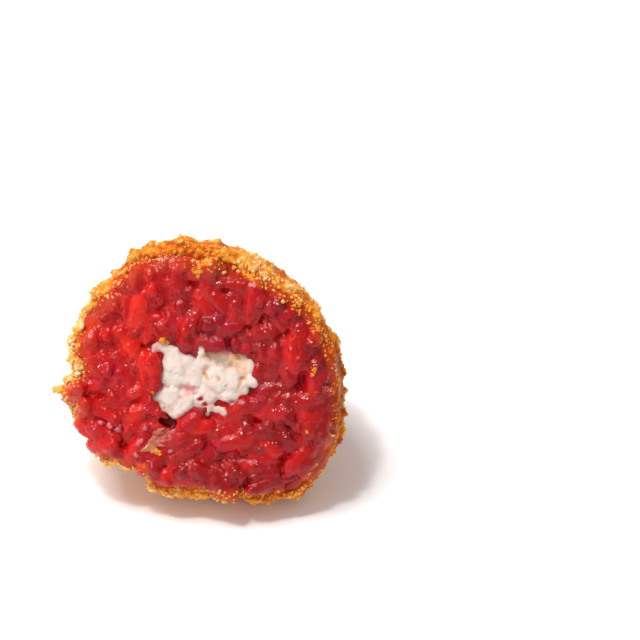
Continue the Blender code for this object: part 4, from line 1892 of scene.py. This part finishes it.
    def lump_mesh(self, number: int) -> Mesh:
        """Makes one soft lump, full on top and below.

        Args:
            number: which of the shapes.

        Returns:
            Its mesh, of about radius 1.
        """
        bm = bmesh.new()
        bmesh.ops.create_icosphere(bm, subdivisions=4, radius=1)
        for vertex in bm.verts:
            vertex.co.z *= 1 + self.lump_fullness * (1 - vertex.co.z**2)
            dip = 0.5 + 0.5 * noise.noise(vertex.co * self.dent_scale + Vector((number * 4.0, 1.0, 0)))
            vertex.co *= 1 - self.lump_dents * dip
        return mesh_of(f"cheese_lump_{number}", bm)

    def build(self) -> Mesh:
        """Builds the cheese and hands it in.

        Returns:
            Its mesh, in the ball's frame.
        """
        material = FreshCheese().make()
        places = [{"at": self.middle, "turn": (0, 0, 0), "size": self.half_size, "tone": 1.0}]
        for x, y, radius, height in (in_mm(*lump) for lump in self.lumps):
            at = (x, y, FORM.face_offset + height + self.proud - radius)
            size = (radius + self.swell,) * 3
            places.append({"at": at, "turn": (0, 0, x * self.lump_spin), "size": size, "tone": 0.0})
        shapes = [self.lump_mesh(number) for number in range(self.lump_shapes)]
        raw = set_down_shapes("cheese_lumps", places, shapes, material)
        mesh = self.relief.finish("goats_cheese_heart", fused(raw.copy(), self.voxel), raw, material)
        # sunk: beige painted shade in the hollow at the upper right; stain: beetroot stain, with painted
        # shade deeper down
        for name, share in (("stain", self.stain), ("sunk", self.beige_painted_shade), ("fleck", self.fleck)):
            write_values(mesh, name, [share(vertex.co) for vertex in mesh.vertices])
        for vertex in mesh.vertices:
            vertex.co.z -= self.dip(vertex.co) + self.fleck_depth * self.fleck(vertex.co)
        mesh.transform(Matrix.Translation((*FORM.slide, 0)))
        hand_in("goats_cheese_heart", mesh.copy(), material, "goats_cheese")
        return mesh

    def stain(self, point: Vector) -> float:
        """How far beetroot has run into the cheese, with painted shade deeper under the face, and pinker the
        deeper a dent is.

        Args:
            point: a point of the ball's frame.

        Returns:
            From 0, not at all, to 1.
        """
        # Deeper under the face the pink is partly real stain and partly painted shade
        below = self.stain_and_shade_below * rising(FORM.depth(point), *self.stain_and_shade_depth)
        run = below + self.stain_patches * patchy(point, *self.stain_patch)
        for most, side, start, width, rise, low, height in self.stains:
            across = rising(side * point.x, start * MM, width * MM)
            run += most * across * rising(rise * point.y, low * MM, height * MM)
        # The deeper a dent, the pinker it is
        return min(1.0, run + self.dip(point) / self.stain_dip)

    def beige_painted_shade(self, point: Vector) -> float:
        """How far a point is on the sunk cheese at the upper right, which is painted beige for the shade in
        its hollow.

        Args:
            point: a point of the ball's frame.

        Returns:
            From 0, off it, to 1.
        """
        fall, start, power = self.beige_fall
        distance, spacing = self.beige_wander
        boundary = self.beige_from - fall * max(point.x / MM - start, 0) ** power
        wander = distance * noise.noise(point / spacing)
        above = rising(point.y + wander, boundary, self.beige_fade)
        return above * rising(point.x, *self.beige_left) * rising(-point.x, *self.beige_right)

    def fleck(self, point: Vector) -> float:
        """How far a point is on a fleck of rind.

        Args:
            point: a point of the ball's frame.

        Returns:
            From 0, off it, to fleck_most.
        """
        if FORM.depth(point) > self.top:
            return 0.0
        uneven = ragged(point, *self.fleck_ragged)
        shares = [0.0]
        for x, y, half_length, half_width, turn in self.flecks:
            away = Matrix.Rotation(-math.radians(turn), 2) @ Vector((point.x / MM - x, point.y / MM - y))
            out = math.hypot(away.x / half_length, away.y / half_width)
            shares.append(smooth(self.fleck_edge - uneven * out))
        return self.fleck_most * max(shares)

    def dip(self, point: Vector) -> float:
        """How far a dent lowers the cheese.

        Args:
            point: a point of the ball's frame.

        Returns:
            The distance.
        """
        if FORM.depth(point) > self.top:
            return 0.0
        uneven = ragged(point, *self.dent_ragged)
        dips = []
        for x, y, radius, depth in (in_mm(*dent) for dent in self.dents):
            out = math.hypot(point.x - x, (point.y - y) * self.dent_squash)
            dips.append(depth * smooth(1 - uneven * out / radius))
        return max(dips)


@dataclass
class Scraps:
    """What lies loose on the open face: crumbs off the crust, bits of stained cheese and a shred of onion."""

    # Crumbs in mm: middle across and up the face, and radius
    crumbs: tuple[Triple, ...] = (
        (-1.4, 17.8, 0.7), (-0.6, 18.2, 0.7), (-1.9, 16.9, 0.6), (-1.0, 16.8, 0.55), (-1.4, 16.0, 0.45),
        (0.4, 18.5, 0.7), (3.8, 18.3, 0.8), (4.6, 17.8, 0.6), (6.5, 16.8, 0.8), (7.4, 16.0, 0.6),
        (14.4, 11.5, 0.55), (15.2, 10.6, 0.5), (-6.9, 4.9, 0.65), (-6.3, 4.6, 0.45), (18.3, 1.3, 0.5),
        (18.0, 0.6, 0.35), (17.5, -9.0, 0.35), (-7.6, -13.6, 0.6), (-6.7, -13.9, 0.45),
        (-8.3, -3.9, 0.35),
    )
    crumb_bits: int = 9  # how many bits each has broken into
    crumb_flatness: float = 0.9
    # Bits of cheese that the rice has stained, given the same way
    curds: tuple[Triple, ...] = (
        (-13.8, -10.2, 0.75), (-15.1, -9.7, 0.6), (-16.8, -9.4, 0.55), (-10.1, -12.1, 0.6),
        (-10.6, -14.3, 0.5), (-9.3, -9.6, 0.45), (-5.0, -13.4, 0.45),
    )
    curd_flatness: float = 0.6
    strewn: float = 0.7  # how far bits lie from where their crumb was, as a share of its radius
    bit_size: float = 0.5
    proud: float = 0.3  # how far a scrap's middle stands above the face, as a share of its thickness
    tilt: float = 0.3
    lengths: Span = (0.9, 1.3)
    width: float = 0.8
    tones: Span = (0.3, 0.8)
    lump_shapes: int = 4
    lump_dents: float = 0.55
    dent_scale: float = 1.4
    lump_fineness: int = 2
    rib_fineness: int = 3
    onion_from: Pair = (-5.7 * MM, -10.0 * MM)  # its upper and lower end
    onion_to: Pair = (-8.3 * MM, -13.6 * MM)
    onion_turn: float = math.radians(12)  # of its ribs
    onion_ribs: int = 80
    onion_rib: Triple = (0.75 * MM, 0.24 * MM, 0.22 * MM)  # half sizes of one rib
    onion_voxel: float = 0.13 * MM
    onion_relief: SkinRelief = SkinRelief(softening=1, blending=3, spacing=0.4 * MM, height=0.1 * MM)
    rib_stray: Pair = (1.4 * MM, 0.4 * MM)  # to each side, across and up the face
    rib_sizes: Span = (0.7, 1.15)
    rib_height: Span = (-0.12 * MM, 0.02 * MM)
    rib_lean: Triple = (0.2, 0.15, 0.15)
    rib_fried: Rise = (0.45, 0.4)  # where along the shred it turns ochre
    seed: int = 21

    def lump_mesh(self, number: int, fineness: int) -> Mesh:
        """Makes one soft lump: a coarse ball pushed in and out.

        Args:
            number: which of the shapes.
            fineness: how finely it is made.

        Returns:
            Its mesh, of about radius 1.
        """
        bm = bmesh.new()
        bmesh.ops.create_uvsphere(bm, u_segments=6 * fineness, v_segments=4 * fineness, radius=1)
        for vertex in bm.verts:
            push = noise.noise(vertex.co * self.dent_scale + Vector((number * 7.1, 3.3, 1.7)))
            vertex.co *= 1 + self.lump_dents * push
        return mesh_of(f"soft_lump_{number}", bm)

    def lump_meshes(self, fineness: int) -> list[Mesh]:
        """All the shapes of soft lump."""
        return [self.lump_mesh(number, fineness) for number in range(self.lump_shapes)]

    def heights(self, meshes: list[Mesh]) -> Callable[[float, float], float]:
        """Finds out how high the face stands.

        Args:
            meshes: what the face is made of, in the ball's frame.

        Returns:
            A function from a place on the face to the height of what lies on top there.
        """
        trees = [
            BVHTree.FromPolygons([v.co for v in mesh.vertices], [p.vertices for p in mesh.polygons])
            for mesh in meshes
        ]

        def height(x: float, y: float) -> float:
            """Height along the ball's Z at one place."""
            hits = [tree.ray_cast(Vector((x, y, 2 * FORM.radius)), Vector((0, 0, -1)))[0] for tree in trees]
            return max([hit.z for hit in hits if hit], default=FORM.face_offset)

        return height

    def places(
        self, scraps: tuple[Triple, ...], bits: int, flatness: float, height: Callable[[float, float], float]
    ) -> list[dict]:
        """Finds where small lumps lie on the face.

        Args:
            scraps: place and radius of each, in mm.
            bits: how many bits it has broken into.
            flatness: how thick a lump is, as a share of its width.
            height: as heights gives it.

        Returns:
            Their places, as points_mesh takes them.
        """
        draw = random.Random(self.seed)
        stray, share = (self.strewn, self.bit_size) if bits > 1 else (0.0, 1.0)
        places = []
        for x, y, radius in (in_mm(*scrap) for scrap in scraps for _ in range(bits)):
            x += draw.uniform(-stray, stray) * radius + FORM.slide[0]
            y += draw.uniform(-stray, stray) * radius + FORM.slide[1]
            radius *= share
            tilts = (draw.uniform(-self.tilt, self.tilt), draw.uniform(-self.tilt, self.tilt))
            places.append(
                {
                    "at": (x, y, height(x, y) + self.proud * flatness * radius),
                    "turn": (*tilts, draw.uniform(0, ANY_TURN)),
                    "size": (radius * draw.uniform(*self.lengths), radius * self.width, radius * flatness),
                    "tone": draw.uniform(*self.tones),
                }
            )
        return places

    def onion_mesh(self, height: Callable[[float, float], float], material: Material) -> Mesh:
        """Makes a shred of onion cooked soft: short ribs that lie side by side, half sunk in the rice.

        Args:
            height: as heights gives it.
            material: the onion's material.

        Returns:
            Its mesh, in the ball's frame.
        """
        draw = random.Random(self.seed)
        ends = list(zip(self.onion_from, self.onion_to, FORM.slide))
        pitch, roll, yaw = self.rib_lean
        places = []
        for number in range(self.onion_ribs):
            share = number / self.onion_ribs
            x, y = (
                start * (1 - share) + end * share + over + draw.uniform(-stray, stray)
                for (start, end, over), stray in zip(ends, self.rib_stray)
            )
            size = draw.uniform(*self.rib_sizes)
            turn = self.onion_turn + draw.uniform(-yaw, yaw)
            places.append(
                {
                    "at": (x, y, height(x, y) + draw.uniform(*self.rib_height)),
                    "turn": (draw.uniform(-pitch, pitch), draw.uniform(-roll, roll), turn),
                    "size": [half * size for half in self.onion_rib],
                    "tone": rising(share, *self.rib_fried),
                }
            )
        ribs = set_down_shapes("onion_ribs", places, self.lump_meshes(self.rib_fineness), material)
        return self.onion_relief.finish("onion_shred", fused(ribs.copy(), self.onion_voxel), ribs, material)

    def build(self, meshes: list[Mesh]) -> None:
        """Builds the scraps and hands them in.

        Args:
            meshes: what the face is made of, in the ball's frame.
        """
        height = self.heights(meshes)
        bits = self.places(self.crumbs, self.crumb_bits, self.crumb_flatness, height)
        curds = self.places(self.curds, 1, self.curd_flatness, height)
        shapes = CrumbCoat(CrumbKind.FINE).crumb_shapes()
        lumps = self.lump_meshes(self.lump_fineness)
        crumb, curd, onion = (finish.make() for finish in (LooseCrumb(), StainedCurd(), CookedOnion()))
        hand_in("loose_crumbs", set_down_shapes("loose_crumbs", bits, shapes, crumb), crumb)
        hand_in("stained_curds", set_down_shapes("stained_curds", curds, lumps, curd), curd)
        hand_in("onion_shred", self.onion_mesh(height, onion), onion)


@dataclass
class Studio:
    """The white floor, the soft lights and the camera."""

    azimuth: float = math.radians(5)
    elevation: float = math.radians(36)
    distance: float = 0.6
    frame_width: float = 640 / 6.0 * MM  # what the picture's width takes in at the ball
    sensor: float = 36.0
    clip: Span = (0.01, 10)
    # Where the ball's centre shows, from the middle of the picture, in metres right and up
    offset: Pair = (-115 / 6.0 * MM, -50 / 6.0 * MM)
    floor_reach: float = 2.0
    world_strength: float = 0.5
    lit: Triple = (0, 0, 0.02)  # what the lights face
    # Name, place, width and power in watts of each soft light
    lights: tuple[tuple[str, Triple, float, float], ...] = (
        ("key", (-0.18, -0.05, 0.56), 0.26, 2.55),
        ("sparkle", (-0.12, -0.14, 0.57), 0.05, 0.9),
        ("side", (-0.52, -0.38, 0.26), 0.4, 0.8),
    )

    def view_axes(self) -> tuple[Vector, Vector, Vector]:
        """Works out how the camera stands.

        Returns:
            Its right, up and back directions.
        """
        sin_a, cos_a = math.sin(self.azimuth), math.cos(self.azimuth)
        sin_e, cos_e = math.sin(self.elevation), math.cos(self.elevation)
        back = Vector((sin_a * cos_e, -cos_a * cos_e, sin_e))
        right = Vector((cos_a, sin_a, 0))
        return right, back.cross(right), back

    def add_camera(self) -> None:
        """Adds the camera at the photo's angle and framing."""
        right, up, back = self.view_axes()
        data = bpy.data.cameras.new("camera")
        data.sensor_width = self.sensor
        data.lens = self.sensor * self.distance / self.frame_width
        data.clip_start, data.clip_end = self.clip
        camera = bpy.data.objects.new("camera", data)
        bpy.context.scene.collection.objects.link(camera)
        aim = FORM.matrix().translation - right * self.offset[0] - up * self.offset[1]
        turn = Matrix((right, up, back)).transposed().to_4x4()
        camera.matrix_world = Matrix.Translation(aim + back * self.distance) @ turn
        bpy.context.scene.camera = camera

    def add_light(self, name: str, at: Triple, width: float, power: float) -> None:
        """Adds a soft square light that faces the food.

        Args:
            name: the light's name.
            at: where it stands.
            width: of its square.
            power: in watts.
        """
        data = bpy.data.lights.new(name, "AREA")
        data.size = width
        data.energy = power
        light = bpy.data.objects.new(name, data)
        bpy.context.scene.collection.objects.link(light)
        light.location = at
        aim = Vector(self.lit) - Vector(at)
        light.rotation_euler = aim.to_track_quat("-Z", "Y").to_euler()

    def add_floor(self) -> None:
        """Adds the sheet of white paper."""
        bm = bmesh.new()
        bmesh.ops.create_grid(bm, x_segments=1, y_segments=1, size=self.floor_reach)
        mesh = mesh_of("floor", bm)
        mesh.materials.append(StudioPaper().make())
        helper_object("floor", mesh)

    def add_world(self) -> None:
        """Lights everything evenly from a white sky."""
        world = bpy.data.worlds.new("studio")
        world.use_nodes = True
        bpy.context.scene.world = world
        sky = world.node_tree.nodes["Background"]
        sky.inputs["Color"].default_value = (1.0, 1.0, 1.0, 1.0)
        sky.inputs["Strength"].default_value = self.world_strength

    def build(self) -> None:
        """Sets up everything round the food."""
        self.add_floor()
        self.add_world()
        for name, at, width, power in self.lights:
            self.add_light(name, at, width, power)
        self.add_camera()
        bpy.context.scene.view_settings.view_transform = "Standard"


def main() -> None:
    """Builds the classes in order."""
    logging.basicConfig(level=logging.INFO, format="%(name)s: %(message)s")
    cheese = CheeseHeart()
    crumb = Crust().build()
    face = [Risotto().build(cheese.outlines()), cheese.build()]
    hand_in("edge_crumbs", CrumbCoat(CrumbKind.EDGE).scatter(face[0].copy(), crumb), crumb)
    # Pale pink painted glints that stand in for highlights on the wet rice
    glint_finish = PaintedGlintSpecks().make()
    hand_in("rice_starch", CrumbCoat(CrumbKind.STARCH).scatter(face[0].copy(), glint_finish), glint_finish)
    Scraps().build(face)
    Studio().build()


if __name__ == "__main__":
    main()
